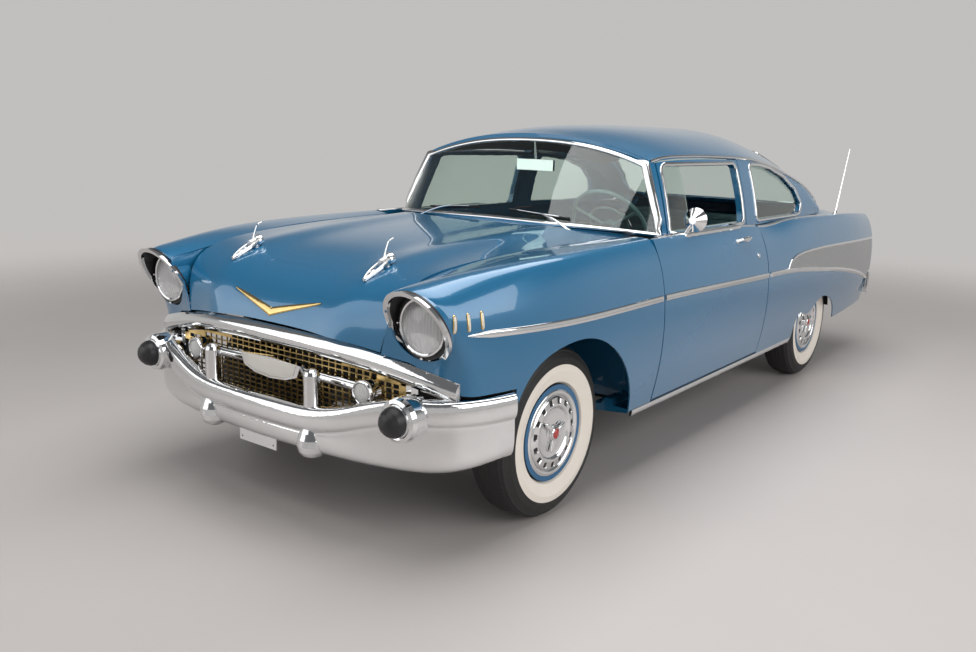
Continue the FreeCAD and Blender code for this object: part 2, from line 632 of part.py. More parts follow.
# Rear quarters, trunk lid and tail
TRUNK_HALF_WIDTH = 690.0
TRUNK_FRONT = REAR_AXLE + 344.0
TRUNK_FRONT_BOW = 36.0
TRUNK_HINGE_Y = TRUNK_FRONT - 30
TRUNK_HINGE_Z = 1008.0
tail_y = through([(330, TAIL - 200), (560, TAIL - 190), (680, TAIL - 200), (800, TAIL - 182), (880, TAIL - 150),
                  (970, TAIL - 102)])
deck_z = through([(REAR_AXLE + 240, 1030), (TRUNK_FRONT, 1034), (REAR_AXLE + 600, 1012), (REAR_AXLE + 850, 976),
                  (TAIL - 290, 926), (TAIL - 150, 880)])


deck_edge = through([(ROOF_REAR, 768), (ROOF_REAR + 40, 738), (ROOF_REAR + 90, 706), (TRUNK_FRONT - 20, 692),
                     (TRUNK_FRONT, TRUNK_HALF_WIDTH), (TAIL, TRUNK_HALF_WIDTH)])


def make_quarter():
    """Left rear quarter: side with its wheel arch, fin crown and the strip beside the trunk lid."""
    outer = []
    front = DOOR_REAR + PANEL_GAP
    for s in [0.0, 0.08, 0.18, 0.3, 0.42, 0.49, 0.53, 0.58, 0.65, 0.75, 0.88, 1.0]:
        line = []
        for t in [0.0, 0.2, 0.4, 0.6, 0.78, 0.92]:
            rear = tail_y(350 + 620 * t)
            y = front + (rear - front) * s
            z = bottom_height(y) + (crown_height(y) - bottom_height(y)) * t
            line.append(V(side_x(y, z), y, z))
        y = front + (tail_y(970) - front) * s
        top_x = crown_x(y)
        top_z = crown_height(y)
        share = max(0.0, min(1.0, (y - ROOF_REAR + 20) / 40))
        inner_x = (belt_x(y) + 3) * (1 - share) + (deck_edge(y) + PANEL_GAP) * share
        inner_z = (belt_z(y) - 14) * (1 - share) + deck_z(y) * share
        line.append(V(top_x - 2, y, top_z - 7))
        line.append(V(top_x - 18, y, top_z))
        line.append(V(top_x - 40, y, top_z - 4))
        line.append(V((top_x - 40 + inner_x) / 2, y, (top_z + inner_z) / 2 - 6 * share))
        line.append(V(inner_x, y, inner_z))
        outer.append(line)
    sheet = panel(outer, offset(outer, -SHEET))
    sheet = sheet.cut(rear_arch)
    sheet = sheet.cut(box(500, 1000, TAIL - 262, TAIL + 10, 300, 566))
    return sheet


trunk_centre = [V(0, TRUNK_FRONT + TRUNK_FRONT_BOW, 1052), V(0, REAR_AXLE + 600, 1032), V(0, REAR_AXLE + 850, 998),
                V(0, TAIL - 290, 952), V(0, TAIL - 200, 910), V(0, TAIL - 150, 850), V(0, TAIL - 135, 780),
                V(0, TAIL - 132, 710), V(0, TAIL - 135, 640)]
trunk_edge = [V(TRUNK_HALF_WIDTH, TRUNK_FRONT, 1034), V(TRUNK_HALF_WIDTH, REAR_AXLE + 580, 1013),
              V(TRUNK_HALF_WIDTH, REAR_AXLE + 830, 979), V(TRUNK_HALF_WIDTH, TAIL - 310, 932),
              V(TRUNK_HALF_WIDTH - 4, TAIL - 226, 888), V(TRUNK_HALF_WIDTH - 14, TAIL - 184, 832),
              V(TRUNK_HALF_WIDTH - 30, TAIL - 168, 770), V(TRUNK_HALF_WIDTH - 54, TAIL - 162, 705),
              V(TRUNK_HALF_WIDTH - 80, TAIL - 162, 640)]


def trunk_grid(stations, across):
    """Grid of the trunk lid's outer surface."""
    rows = []
    for k in stations:
        centre = trunk_centre[k]
        edge = trunk_edge[k]
        line = []
        for a in across:
            bow = abs(a) ** 2.2
            line.append(V(edge.x * a, centre.y + (edge.y - centre.y) * bow, centre.z + (edge.z - centre.z) * bow))
        rows.append(line)
    return rows


def hinge_arm(y, z, way):
    """Left hooked arm of a lid, from its eye on the pin at y and z, dipping past the body's edge and up to the lid."""
    x = LID_ARM_X
    outline = [(-8, 0), (8, 0), (16, -26), (44, -26), (56, 0), (64, 12), (84, 12), (84, 0), (58, -42), (4, -42)]
    arm = prism([V(x, y + way * dy, z + dz) for dy, dz in outline], V(LID_ARM_WIDTH, 0, 0))
    eye = rod(V(x, y, z), V(x + LID_ARM_WIDTH, y, z), 12)
    return fused([arm, eye])


def hinge_bore(y, z):
    """Hole for the left pin of a lid."""
    return rod(V(LID_ARM_X - 10, y, z), V(LID_ARM_X + LID_ARM_WIDTH + 10, y, z), LID_PIN_RADIUS + SPINDLE_CLEARANCE)


def hinge_pin(y, z):
    """Left pin of a lid with the cheek that holds it."""
    outside = LID_ARM_X + LID_ARM_WIDTH + 6
    pin = rod(V(LID_ARM_X - 6, y, z), V(outside + 8, y, z), LID_PIN_RADIUS)
    return fused([pin, box(outside, outside + 8, y - 11, y + 12, z - 10, z + 10)])


def make_trunk_lid():
    """Trunk lid from the rear deck down to the bumper, with its hinge arms."""
    outer = trunk_grid(range(len(trunk_centre)), steps(-1, 1, 11))
    inner = offset(outer, LID_THICKNESS)
    inner[0] = [V(p.x, p.y + LID_THICKNESS, p.z) for p in inner[0]]
    arm = hinge_arm(TRUNK_HINGE_Y, TRUNK_HINGE_Z, 1)
    lid = fused([panel(outer, inner), arm, mirrored(arm)])
    bore = hinge_bore(TRUNK_HINGE_Y, TRUNK_HINGE_Z)
    return lid.cut(bore).cut(mirrored(bore))


PILLAR_FOOT = [(0, 84, 1066), (200, 82, 1065), (400, 72, 1062), (540, 56, 1060), (600, 29, 1080), (640, 6, 1104),
               (690, 3, 1092), (735, 3, 1076), (757, 3, 1058), (766, 3, 1034)]


def make_tail_panel(neighbours):
    """Body between rear window and trunk lid with the lid's hinge pins, and the panels round the lid's lower end."""
    right = []
    for x, back, z in PILLAR_FOOT:
        side = x / PILLAR_FOOT[-1][0]
        bow = side ** 2.2
        end = V(0, TRUNK_FRONT + TRUNK_FRONT_BOW * (1 - bow) - PANEL_GAP, 1052 - 18 * bow)
        column = []
        for s in [0.0, 0.2, 0.45, 0.7, 1.0]:
            edge_y = ROOF_REAR + 3 + (TRUNK_FRONT - PANEL_GAP - ROOF_REAR - 3) * s
            start_y = ROOF_REAR + back
            column.append(V(deck_edge(edge_y) * side, start_y + (end.y - start_y) * s, end.z + (z - end.z) * (1 - s) ** 1.6))
        right.append(column)
    left = [[V(-p.x, p.y, p.z) for p in column] for column in reversed(right[1:])]
    rows = [list(line) for line in zip(*(left + right))]
    deck = panel(rows, offset(rows, SHEET))
    lower = []
    for z in [440, 520, 580, 628]:
        line = []
        for a in steps(-1, 1, 11):
            x = 866 * a
            line.append(V(x, TAIL - 140 - 70 * abs(a) ** 3, z))
        lower.append(line)
    valance = panel(lower, offset(lower, -SHEET))
    cheek_rows = []
    for z in [600, 700, 800, 890]:
        edge = TRUNK_HALF_WIDTH + PANEL_GAP - max(0.0, (800 - z)) * 0.42
        outer_x = side_x(TAIL - 190, z) + 8
        line = [V(edge + (outer_x - edge) * s, TAIL - 172 - 24 * s, z) for s in [0.0, 0.5, 1.0]]
        cheek_rows.append(line)
    cheek = inner_part(panel(cheek_rows, offset(cheek_rows, -SHEET)), neighbours)
    pin = hinge_pin(TRUNK_HINGE_Y, TRUNK_HINGE_Z)
    outside = LID_ARM_X + LID_ARM_WIDTH + 6
    hanger = box(outside, outside + 8, TRUNK_HINGE_Y - 11, TRUNK_HINGE_Y + 12, TRUNK_HINGE_Z, TRUNK_HINGE_Z + 25)
    stay = box(outside, 740, TRUNK_FRONT - 54, TRUNK_FRONT - 48, TRUNK_HINGE_Z - 4, TRUNK_HINGE_Z + 28)
    halves = [pin, hanger, cheek, inner_part(stay, neighbours)]
    tail = fused([deck, valance] + halves + [mirrored(half) for half in halves])
    for other in neighbours:
        tail = tail.cut(other).cut(mirrored(other))
    return tail


def inner_part(piece, neighbours):
    """The piece trimmed to the faces of its neighbours, without what is left over on their far side."""
    for other in neighbours:
        piece = piece.cut(other)
    return max(piece.Solids, key=lambda solid: solid.Volume)


def make_tail_lamps():
    """Tail lamp under each fin tip."""
    y = TAIL - 120
    x = BODY_HALF_WIDTH - 124
    profile = [V(x, y - 66, 854), V(x + 32, y - 66, 854), V(x + 32, y - 10, 854), V(x + 25, y + 16, 854),
               V(x + 12, y + 34, 854), V(x, y + 38, 854)]
    return turned(profile, V(x, y, 854), V(0, 1, 0))


# Cowl, floor, rockers and wheelhouses
def windshield_sill(windshield):
    """Strip on the cowl top that the lower edge of the windshield sits in."""
    right = [(x, DOOR_FRONT + y, z) for x, y, z in WINDSHIELD_BASE[:5]]
    line = bowed([(min(x, 680), y, z) for x, y, z in right])
    front = [[V(x, y - 7, z + rise) for rise in (-22, -8, 5)] for x, y, z in line]
    back = [[V(x, y + 7, z + rise) for rise in (-22, -8, 5)] for x, y, z in line]
    return panel(front, back).cut(windshield)


def make_cowl(windshield):
    """Cowl top with the windshield's sill, firewall, hinge posts and fender braces, with the pins of doors and hood."""
    rows = []
    under = []
    for s in [0.0, 0.5, 1.0]:
        line = []
        for a in steps(-1, 1, 11):
            side = abs(a)
            front_y = HOOD_REAR_EDGE - HOOD_REAR_BOW * (1 - side ** 2.2) + PANEL_GAP
            rear_y = DOOR_FRONT - 34 + 90 * side ** 3
            line.append(V(690 * a + 54 * a * s * side ** 3, front_y + (rear_y - front_y) * s,
                          1080 - 34 * side ** 2.2 - 8 * s))
        rows.append(line)
        under.append([V(p.x, p.y, FLOOR_HEIGHT) for p in line])
    top = panel(rows, offset(rows, SHEET))
    for side in (1, -1):
        beside = box(694, 900, HOOD_REAR_EDGE - 60, FENDER_REAR + PANEL_GAP, 1000, 1100)
        top = top.cut(beside if side > 0 else mirrored(beside))
    wall_y = DOOR_FRONT - 66
    wall = box(-690, 690, wall_y, wall_y + SHEET, FLOOR_HEIGHT + SHEET, 1100)
    wall = wall.common(panel(rows, under))
    wall = wall.cut(rod(COLUMN_AXIS_LOW, COLUMN_AXIS_HIGH, 34))
    slot = box(LID_ARM_X - 6, LID_ARM_X + LID_ARM_WIDTH + 6, wall_y - 5, wall_y + 15, HOOD_HINGE_Z - 50, HOOD_HINGE_Z + 15)
    wall = wall.cut(slot).cut(mirrored(slot))
    wall = wall.cut(box(-TUNNEL_HALF_WIDTH, TUNNEL_HALF_WIDTH, wall_y - 5, wall_y + 15, FLOOR_HEIGHT, TUNNEL_TOP))
    post = box(735, 792, DOOR_FRONT - 80, DOOR_FRONT + 60, SILL_HEIGHT + 20, 1030)
    shelf = box(684, 740, wall_y, wall_y + SHEET, FLOOR_HEIGHT + SHEET, 1030)
    brace_y = DOOR_FRONT - 76
    brace = []
    for z in steps(SILL_HEIGHT + 40, 900, 6):
        brace.append([V(x, brace_y, z) for x in steps(790, side_x(brace_y, z) - SHEET - 5, 4)])
    brace = panel(brace, [[V(p.x, p.y + SHEET, p.z) for p in line] for line in brace])
    parts = [top, wall, windshield_sill(windshield)]
    halves = [post, shelf, brace]
    for z in HINGE_HEIGHTS:
        halves.append(box(788, HINGE_X + HINGE_PIN_RADIUS, HINGE_Y - 11, HINGE_Y + 11, z - 22, z + 22))
        halves.append(rod(V(HINGE_X, HINGE_Y, z - HINGE_POCKET - 14), V(HINGE_X, HINGE_Y, z + HINGE_POCKET + 14),
                          HINGE_PIN_RADIUS))
    halves.append(hinge_pin(HOOD_HINGE_Y, HOOD_HINGE_Z))
    for half in halves:
        parts += [half, mirrored(half)]
    return fused(parts)


def make_floor():
    """Floor pan with its tunnel, rear seat step, boot floor and spare side wells."""
    front = DOOR_FRONT - 80
    kick = REAR_AXLE - 560
    rear = TAIL - 210
    line = [(front, FLOOR_HEIGHT), (kick, FLOOR_HEIGHT), (kick + 140, FLOOR_HEIGHT + 190), (rear - 420, FLOOR_HEIGHT + 190),
            (rear - 380, FLOOR_HEIGHT + 120), (rear, FLOOR_HEIGHT + 120)]
    points = [V(-700, y, z) for y, z in line] + [V(-700, y, z + SHEET) for y, z in reversed(line)]
    floor = prism(points, V(1400, 0, 0))
    hump = [V(-130, front, FLOOR_HEIGHT), V(-110, front, FLOOR_HEIGHT + 150), V(110, front, FLOOR_HEIGHT + 150),
            V(130, front, FLOOR_HEIGHT)]
    tunnel = prism(hump, V(0, kick + 60 - front, 0))
    hollow = [V(-122, front - 2, FLOOR_HEIGHT - 1), V(-103, front - 2, FLOOR_HEIGHT + 144),
              V(103, front - 2, FLOOR_HEIGHT + 144), V(122, front - 2, FLOOR_HEIGHT - 1)]
    hollow = prism(hollow, V(0, kick + 62 - front, 0))
    wings = box(-700, -640, front, kick, FLOOR_HEIGHT, FLOOR_HEIGHT + SHEET)
    pan = fused([floor, tunnel, wings]).cut(hollow)
    reach = WHEELHOUSE_RADIUS + SHEET
    for side in (1, -1):
        notch = box(WHEELHOUSE_X, WHEELHOUSE_X + 110, REAR_AXLE - reach, REAR_AXLE + reach, FLOOR_HEIGHT - 20, FLOOR_HEIGHT + 260)
        pan = pan.cut(notch if side > 0 else mirrored(notch))
    return pan


def make_rockers():
    """Rocker under each door, with its step."""
    y0 = FRONT_AXLE + FRONT_ARCH_RADIUS + 100
    y1 = REAR_AXLE - REAR_ARCH_RADIUS - 110
    profile = [V(700, y0, FLOOR_HEIGHT - 30), V(872, y0, SILL_HEIGHT - 27), V(880, y0, SILL_HEIGHT - 9),
               V(800, y0, SILL_HEIGHT - 8), V(788, y0, SILL_HEIGHT + 20), V(760, y0, SILL_HEIGHT + 20),
               V(740, y0, FLOOR_HEIGHT + 4), V(700.3, y0, FLOOR_HEIGHT + 4)]
    return both(prism(profile, V(0, y1 - y0, 0)))


WHEELHOUSE_X = REAR_TRACK / 2 - TYRE_WIDTH / 2 - 18
WHEELHOUSE_RADIUS = TYRE_RADIUS + 50


def make_inner_fenders(quarter):
    """Engine bay side walls, and the rear wheelhouses with the flanges that carry the quarter panels."""
    wall = box(470, 476, NOSE + 420, DOOR_FRONT - 66, 486, 940)
    front_foot = box(FRAME_X + 32, 476, FRONT_AXLE - 320, FRONT_AXLE - 300, 380, 500)
    rear_foot = box(FRAME_X + 32, 476, FRONT_AXLE + 300, FRONT_AXLE + 320, 330, 500)
    front = fused([wall, front_foot, rear_foot])
    drum = Part.makeCylinder(WHEELHOUSE_RADIUS + SHEET, 200, V(WHEELHOUSE_X, REAR_AXLE, TYRE_RADIUS), V(1, 0, 0))
    inner = Part.makeCylinder(WHEELHOUSE_RADIUS, 200, V(WHEELHOUSE_X + SHEET, REAR_AXLE, TYRE_RADIUS), V(1, 0, 0))
    flange_y = REAR_AXLE + WHEELHOUSE_RADIUS - 41
    flange = box(WHEELHOUSE_X + 60, BODY_HALF_WIDTH + 10, flange_y, flange_y + SHEET, 480, 640).cut(inner)
    flange = inner_part(flange, [quarter])
    rear = fused([drum.cut(inner).common(box(600, 900, 0, 4000, 400, 1000)), flange])
    walls = [front, mirrored(front), rear, mirrored(rear)]
    return Part.makeCompound(walls)


# Grille, surround and bumpers
def swept_bar(path, half_height, depth):
    """Rounded bar that follows a bowed path across the nose, given as (x, y, z) points of its middle."""
    outer = []
    inner = []
    for x, y, z in path:
        line = []
        back = []
        for a in steps(-1, 1, 7):
            line.append(V(x, y + depth * 0.5 * a * a, z + half_height * a))
            back.append(V(x, y + depth * 0.5 * a * a + depth * 0.5, z + half_height * a * 0.9))
        outer.append(line)
        inner.append(back)
    return panel(outer, inner)


def bowed(points):
    """Left half of a path and its mirror image, from right to left."""
    right = [(-x, y, z) for x, y, z in reversed(points[1:])]
    return right + points


def make_grille_surround():
    """Curved bar over the grille and the apron panel under the lamps."""
    path = [(0, NOSE + 96, 727), (260, NOSE + 104, 723), (420, NOSE + 118, 711), (560, NOSE + 142, 690),
            (700, NOSE + 168, 660), (780, NOSE + 188, 640), (822, NOSE + 206, 628)]
    bar = swept_bar(bowed(path), 38, 48)
    sill = []
    for z in [382, 400, 418]:
        sill.append([V(x, NOSE + 150 + 60 * (x / 800.0) ** 2, z) for x in steps(-800, 800, 9)])
    apron = panel(sill, offset(sill, SHEET))
    legs = []
    for x in (-GRILLE_POST_X, GRILLE_POST_X):
        legs.append(box(x - 12, x + 12, NOSE + 180, NOSE + 215, 400, 650))
        foot = FRAME_X if x > 0 else -FRAME_X
        legs.append(box(foot - 20, foot + 20, NOSE + 162, FRAME_FRONT, 385, 415))
    return fused([bar, apron] + legs)


GRILLE_BACK = NOSE + 180.0
GRILLE_PITCH_X = 35.0
GRILLE_PITCH_Z = 20.0
GRILLE_WIRE = 4.0
GRILLE_POST_X = 640.0


def rectangle(x0, x1, z0, z1, y):
    """Upright rectangular outline facing along the car."""
    corners = [V(x0, y, z0), V(x1, y, z0), V(x1, y, z1), V(x0, y, z1)]
    return Part.makePolygon(corners + [corners[0]])


def make_grille():
    """Pierced mesh, with the floating bar and its shield in front of it and the round parking lamps on their stalks."""
    columns = 34
    half = columns * GRILLE_PITCH_X / 2
    holes = []
    for i in range(columns):
        x0 = -half + GRILLE_PITCH_X * i
        top = 684 - 46 * (max(abs(x0), abs(x0 + GRILLE_PITCH_X)) / 585.0) ** 2
        z0 = 430.0
        while z0 + GRILLE_PITCH_Z < top:
            holes.append(rectangle(x0 + GRILLE_WIRE, x0 + GRILLE_PITCH_X, z0 + GRILLE_WIRE, z0 + GRILLE_PITCH_Z,
                                   GRILLE_BACK))
            z0 += GRILLE_PITCH_Z
    rim = [V(-half - 8, GRILLE_BACK, 424)]
    rim += [V(x, GRILLE_BACK, 688 - 46 * (x / 585.0) ** 2) for x in steps(-half - 8, half + 8, 13)]
    rim.append(V(half + 8, GRILLE_BACK, 424))
    outline = Part.makePolygon(rim + [rim[0]])
    mesh = Part.Face([outline] + holes).extrude(V(0, 6, 0))
    path = [(0, NOSE + 128, 604), (150, NOSE + 130, 602), (300, NOSE + 134, 598), (430, NOSE + 140, 594)]
    pieces = [outward(mesh), swept_bar(bowed(path), 20, 34)]
    shield = [V(-170, NOSE + 112, 632), V(0, NOSE + 112, 640), V(170, NOSE + 112, 632), V(150, NOSE + 112, 586),
              V(90, NOSE + 112, 566), V(0, NOSE + 112, 558), V(-90, NOSE + 112, 566), V(-150, NOSE + 112, 586)]
    pieces.append(prism(shield, V(0, 22, 0)))
    for side in (1, -1):
        pieces.append(rod(V(side * 475, NOSE + 126, 590), V(side * 475, GRILLE_BACK + 3, 590), 46))
        pieces.append(box(side * 240 - 10, side * 240 + 10, NOSE + 144, GRILLE_BACK + 3, 592, 608))
        for z in (450, 600):
            tab = box(595, GRILLE_POST_X - 12, GRILLE_BACK, GRILLE_BACK + 6, z, z + 30)
            pieces.append(tab if side > 0 else mirrored(tab))
    return fused(pieces)


BUMPER_ROLL_AT = 300.0
PLATE_BOLT_SPACING = 177.8
PLATE_BOLT_RADIUS = 3.5
GUARD_X = 283.0
GUARD_Y = NOSE + 66.0
BULLET_X = 690.0
BULLET_Z = 548.0
front_bumper_line = through([(0, NOSE + 34), (300, NOSE + 46), (560, NOSE + 84), (740, NOSE + 150), (835, NOSE + 226),
                             (885, NOSE + 318), (906, FRONT_AXLE - 398)])


def bumper_section(x, y):
    """Section of the front bumper as points: lower face, the step under the roll, and the roll itself."""
    far = max(0.0, min(1.0, (x - BUMPER_ROLL_AT) / 380))
    far = far * far * (3 - 2 * far)
    base = 348 + 34 * max(0.0, (x - 760) / 154) ** 2
    step = 430 + 92 * far
    top = 516 + 94 * far
    out = 1.0 - 0.75 * max(0.0, (x - 760) / 154)
    side = 0.8 * max(0.0, (x - 700) / 214)
    section = [(-20, base), (6, base + 12), (12, base + 70), (8, step - 12), (8, step - 2), (28, step + 14), (28, top - 18),
               (14, top + 4), (-24, top)]
    return [V(x + ahead * side, y - ahead * out, z) for ahead, z in section]


def plate_bracket(y, low, high, hole_z):
    """Strap with the two bolt holes of a number plate."""
    strap = box(-105, 105, y, y + 4, low, high)
    for side in (1, -1):
        x = side * PLATE_BOLT_SPACING / 2
        strap = strap.cut(rod(V(x, y - 5, hole_z), V(x, y + 9, hole_z), PLATE_BOLT_RADIUS))
    return strap


def make_front_bumper():
    """Wrap-round bumper with its upper roll, two guards with bulbous feet and two bullet pods."""
    xs = [0, 150, 300, 430, 560, 670, 760, 835, 885, 906]
    rows = [bumper_section(x, front_bumper_line(x)) for x in xs]
    left = [[V(-p.x, p.y, p.z) for p in line] for line in reversed(rows[1:])]
    grid = left + rows
    parts = [panel(grid, offset(grid, -8))]
    post = [(400, 0), (400, 30), (632, 30), (645, 25), (652, 14), (654, 0)]
    foot = [(326, 0), (328, 22), (338, 41), (354, 53), (376, 58), (400, 55), (424, 45), (446, 33), (470, 20), (470, 0)]
    guard = fused([turned([V(GUARD_X + r, GUARD_Y, z) for z, r in outline], V(GUARD_X, GUARD_Y, 0), V(0, 0, 1))
                   for outline in (post, foot)])
    pod = [(190, 0), (190, 60), (168, 70), (130, 77), (84, 78), (66, 73), (60, 62), (62, 54), (44, 53), (28, 46), (14, 34),
           (4, 18), (0, 0)]
    bullet = turned([V(BULLET_X, NOSE + y, BULLET_Z + r) for y, r in pod], V(BULLET_X, NOSE, BULLET_Z), V(0, 1, 0))
    horn = box(FRAME_X - 25, FRAME_X + 25, NOSE + 56, FRAME_FRONT, 376, 400)
    for piece in (guard, bullet, horn):
        parts += [piece, mirrored(piece)]
    parts.append(plate_bracket(NOSE + 46, 312, 360, 328))
    return fused(parts)


def make_rear_bumper():
    """Rear wrap-round bumper with two guards."""
    half = [(0, TAIL - 12), (300, TAIL - 26), (600, TAIL - 52), (780, TAIL - 92), (860, TAIL - 132), (894, TAIL - 182),
            (904, TAIL - 250)]
    rows = []
    heights = [84, 84, 84, 82, 78, 74, 70]
    for (x, y), h in zip(half, heights):
        line = []
        for a in steps(-1, 1, 7):
            bulge = 12 * (1 - a * a)
            line.append(V(x, y + bulge * (1 if x < 800 else 0.2) - 12, 470 + h * a))
        rows.append(line)
    left = [[V(-p.x, p.y, p.z) for p in line] for line in reversed(rows[1:])]
    grid = left + rows
    parts = [panel(grid, offset(grid, 10))]
    for side in (1, -1):
        x = side * 420
        guard = [V(x - 36, TAIL - 40, 370), V(x - 36, TAIL - 4, 400), V(x - 36, TAIL, 560), V(x - 36, TAIL - 20, 620),
                 V(x - 36, TAIL - 50, 620), V(x - 36, TAIL - 50, 370)]
        parts.append(prism(guard, V(72, 0, 0)))
        parts.append(box(side * FRAME_X - 25, side * FRAME_X + 25, FRAME_REAR, TAIL - 36, 386, 430))
    parts.append(plate_bracket(TAIL - 26, 540, 590, 574))
    return fused(parts)


# Frame and running gear
FRAME_FRONT = NOSE + 190.0
FRAME_REAR = TAIL - 230.0


EXHAUST_X = 230.0
EXHAUST_Z = 236.0
EXHAUST_RADIUS = 25.0


def make_frame():
    """Two box rails that rise over the rear axle, joined by cross members."""
    low = FRAME_BOTTOM
    high = low + 200
    deep = FRAME_DEPTH
    line = [(FRAME_FRONT, low + 140), (FRONT_AXLE - 330, low + 120), (FRONT_AXLE + 250, low + 60), (FRONT_AXLE + 560, low),
            (REAR_AXLE - 520, low), (REAR_AXLE - 240, high), (REAR_AXLE + 260, high), (REAR_AXLE + 560, high - 70),
            (FRAME_REAR, high - 70)]
    under = [V(FRAME_X - 32, y, z) for y, z in line]
    over = [V(FRAME_X - 32, y, z + deep) for y, z in reversed(line)]
    rail = prism(under + over, V(64, 0, 0))
    beams = [rail, mirrored(rail)]
    inside = FRAME_X - 30
    beams.append(box(-inside, inside, FRAME_FRONT, FRAME_FRONT + 60, low + 150, low + 240))
    beams.append(box(-inside, inside, FRONT_AXLE - 90, FRONT_AXLE + 90, low + 70, low + 130))
    beams.append(box(-inside, inside, DOOR_FRONT + 90, DOOR_FRONT + 190, low + 5, low + 65))
    beams.append(box(-inside, inside, REAR_AXLE - 760, REAR_AXLE - 680, low + 5, low + 75))
    beams.append(box(-inside, inside, REAR_AXLE + 440, REAR_AXLE + 500, high - 20, high + 50))
    beams.append(box(-inside, inside, FRAME_REAR - 60, FRAME_REAR, high - 50, high + 40))
    exhaust_hole = rod(V(EXHAUST_X, FRONT_AXLE + 200, EXHAUST_Z), V(EXHAUST_X, REAR_AXLE - 500, EXHAUST_Z), EXHAUST_RADIUS + 8)
    beams = [beam.cut(exhaust_hole) for beam in beams]
    for side in (1, -1):
        for y in (DOOR_FRONT + 60, DOOR_FRONT + 700, DOOR_REAR + 200):
            beams.append(box(side * FRAME_X - 28, side * FRAME_X + 28, y - 40, y + 40, low + deep, FLOOR_HEIGHT))
    return fused(beams)


BALL_JOINT_RISE = 112.0
KINGPIN_RADIUS = 10.0


def make_front_suspension():
    """Upper and lower control arms with their ball joint sockets, on a bracket beside each rail."""
    face = FRAME_X + 32
    parts = []
    for z, spread, thick in ((TYRE_RADIUS - BALL_JOINT_RISE, 112, 26), (TYRE_RADIUS + BALL_JOINT_RISE, 100, 22)):
        low = z - thick / 2
        arm = prism([V(face + 20, FRONT_AXLE - spread, low), V(face + 20, FRONT_AXLE - spread + 40, low),
                     V(KINGPIN_X - 40, FRONT_AXLE - 6, low), V(KINGPIN_X - 40, FRONT_AXLE + 6, low),
                     V(face + 20, FRONT_AXLE + spread - 40, low), V(face + 20, FRONT_AXLE + spread, low),
                     V(KINGPIN_X, FRONT_AXLE + 26, low), V(KINGPIN_X + 24, FRONT_AXLE, low),
                     V(KINGPIN_X, FRONT_AXLE - 26, low)], V(0, 0, thick))
        socket = rod(V(KINGPIN_X, FRONT_AXLE, z - 40), V(KINGPIN_X, FRONT_AXLE, z + 40), KINGPIN_RADIUS + SPINDLE_CLEARANCE)
        parts.append(arm.cut(socket))
    parts.append(box(face, face + 24, FRONT_AXLE - 120, FRONT_AXLE + 120, TYRE_RADIUS - BALL_JOINT_RISE - 13,
                     TYRE_RADIUS + BALL_JOINT_RISE + 11))
    return both(fused(parts))


def make_knuckle():
    """Left steering knuckle: kingpin, upright, spindle and steering arm."""
    pin = rod(V(KINGPIN_X, FRONT_AXLE, 343 - 124), V(KINGPIN_X, FRONT_AXLE, 343 + 122), KINGPIN_RADIUS)
    upright = box(KINGPIN_X - 20, KINGPIN_X + 24, FRONT_AXLE - 24, FRONT_AXLE + 24, 343 - 92, 343 + 94)
    spindle = rod(V(KINGPIN_X, FRONT_AXLE, 343), V(KINGPIN_X + 96, FRONT_AXLE, 343), HUB_BORE_RADIUS)
    arm = prism([V(KINGPIN_X - 18, FRONT_AXLE, STEERING_ARM_Z), V(KINGPIN_X + 12, FRONT_AXLE, STEERING_ARM_Z),
                 V(KINGPIN_X - 56, FRONT_AXLE + STEERING_ARM_LENGTH + 14, STEERING_ARM_Z),
                 V(KINGPIN_X - 86, FRONT_AXLE + STEERING_ARM_LENGTH + 14, STEERING_ARM_Z)], V(0, 0, 14))
    return fused([pin, upright, spindle, arm])


STEERING_ARM_LENGTH = 140.0
STEERING_ARM_Z = 343.0 - 86.0


def make_tie_rods():
    """Relay rod with its two ends under the steering arms."""
    y = FRONT_AXLE + STEERING_ARM_LENGTH
    z = STEERING_ARM_Z - SEAT_CLEARANCE - 12
    return rod(V(-KINGPIN_X + 62, y, z), V(KINGPIN_X - 62, y, z), 12)


def make_tyre(x, y):
    """Tyre with rounded shoulders, its beads seated on the rim."""
    half = TYRE_WIDTH / 2
    bead = RIM_WIDTH / 2 - 10
    outline = [(RIM_RADIUS + 0.3, -bead), (RIM_RADIUS + 17, -bead), (RIM_RADIUS + 26, -bead - 18), (250, -half), (300, -half + 6),
               (328, -half + 24), (338, -half + 40), (TYRE_RADIUS, -20), (TYRE_RADIUS, 20), (338, half - 40),
               (328, half - 24), (300, half - 6), (250, half), (RIM_RADIUS + 26, bead + 18),
               (RIM_RADIUS + 17, bead), (RIM_RADIUS + 0.3, bead)]
    profile = [V(x + a, y, TYRE_RADIUS + r) for r, a in outline]
    return turned(profile, V(x, y, TYRE_RADIUS), V(1, 0, 0))


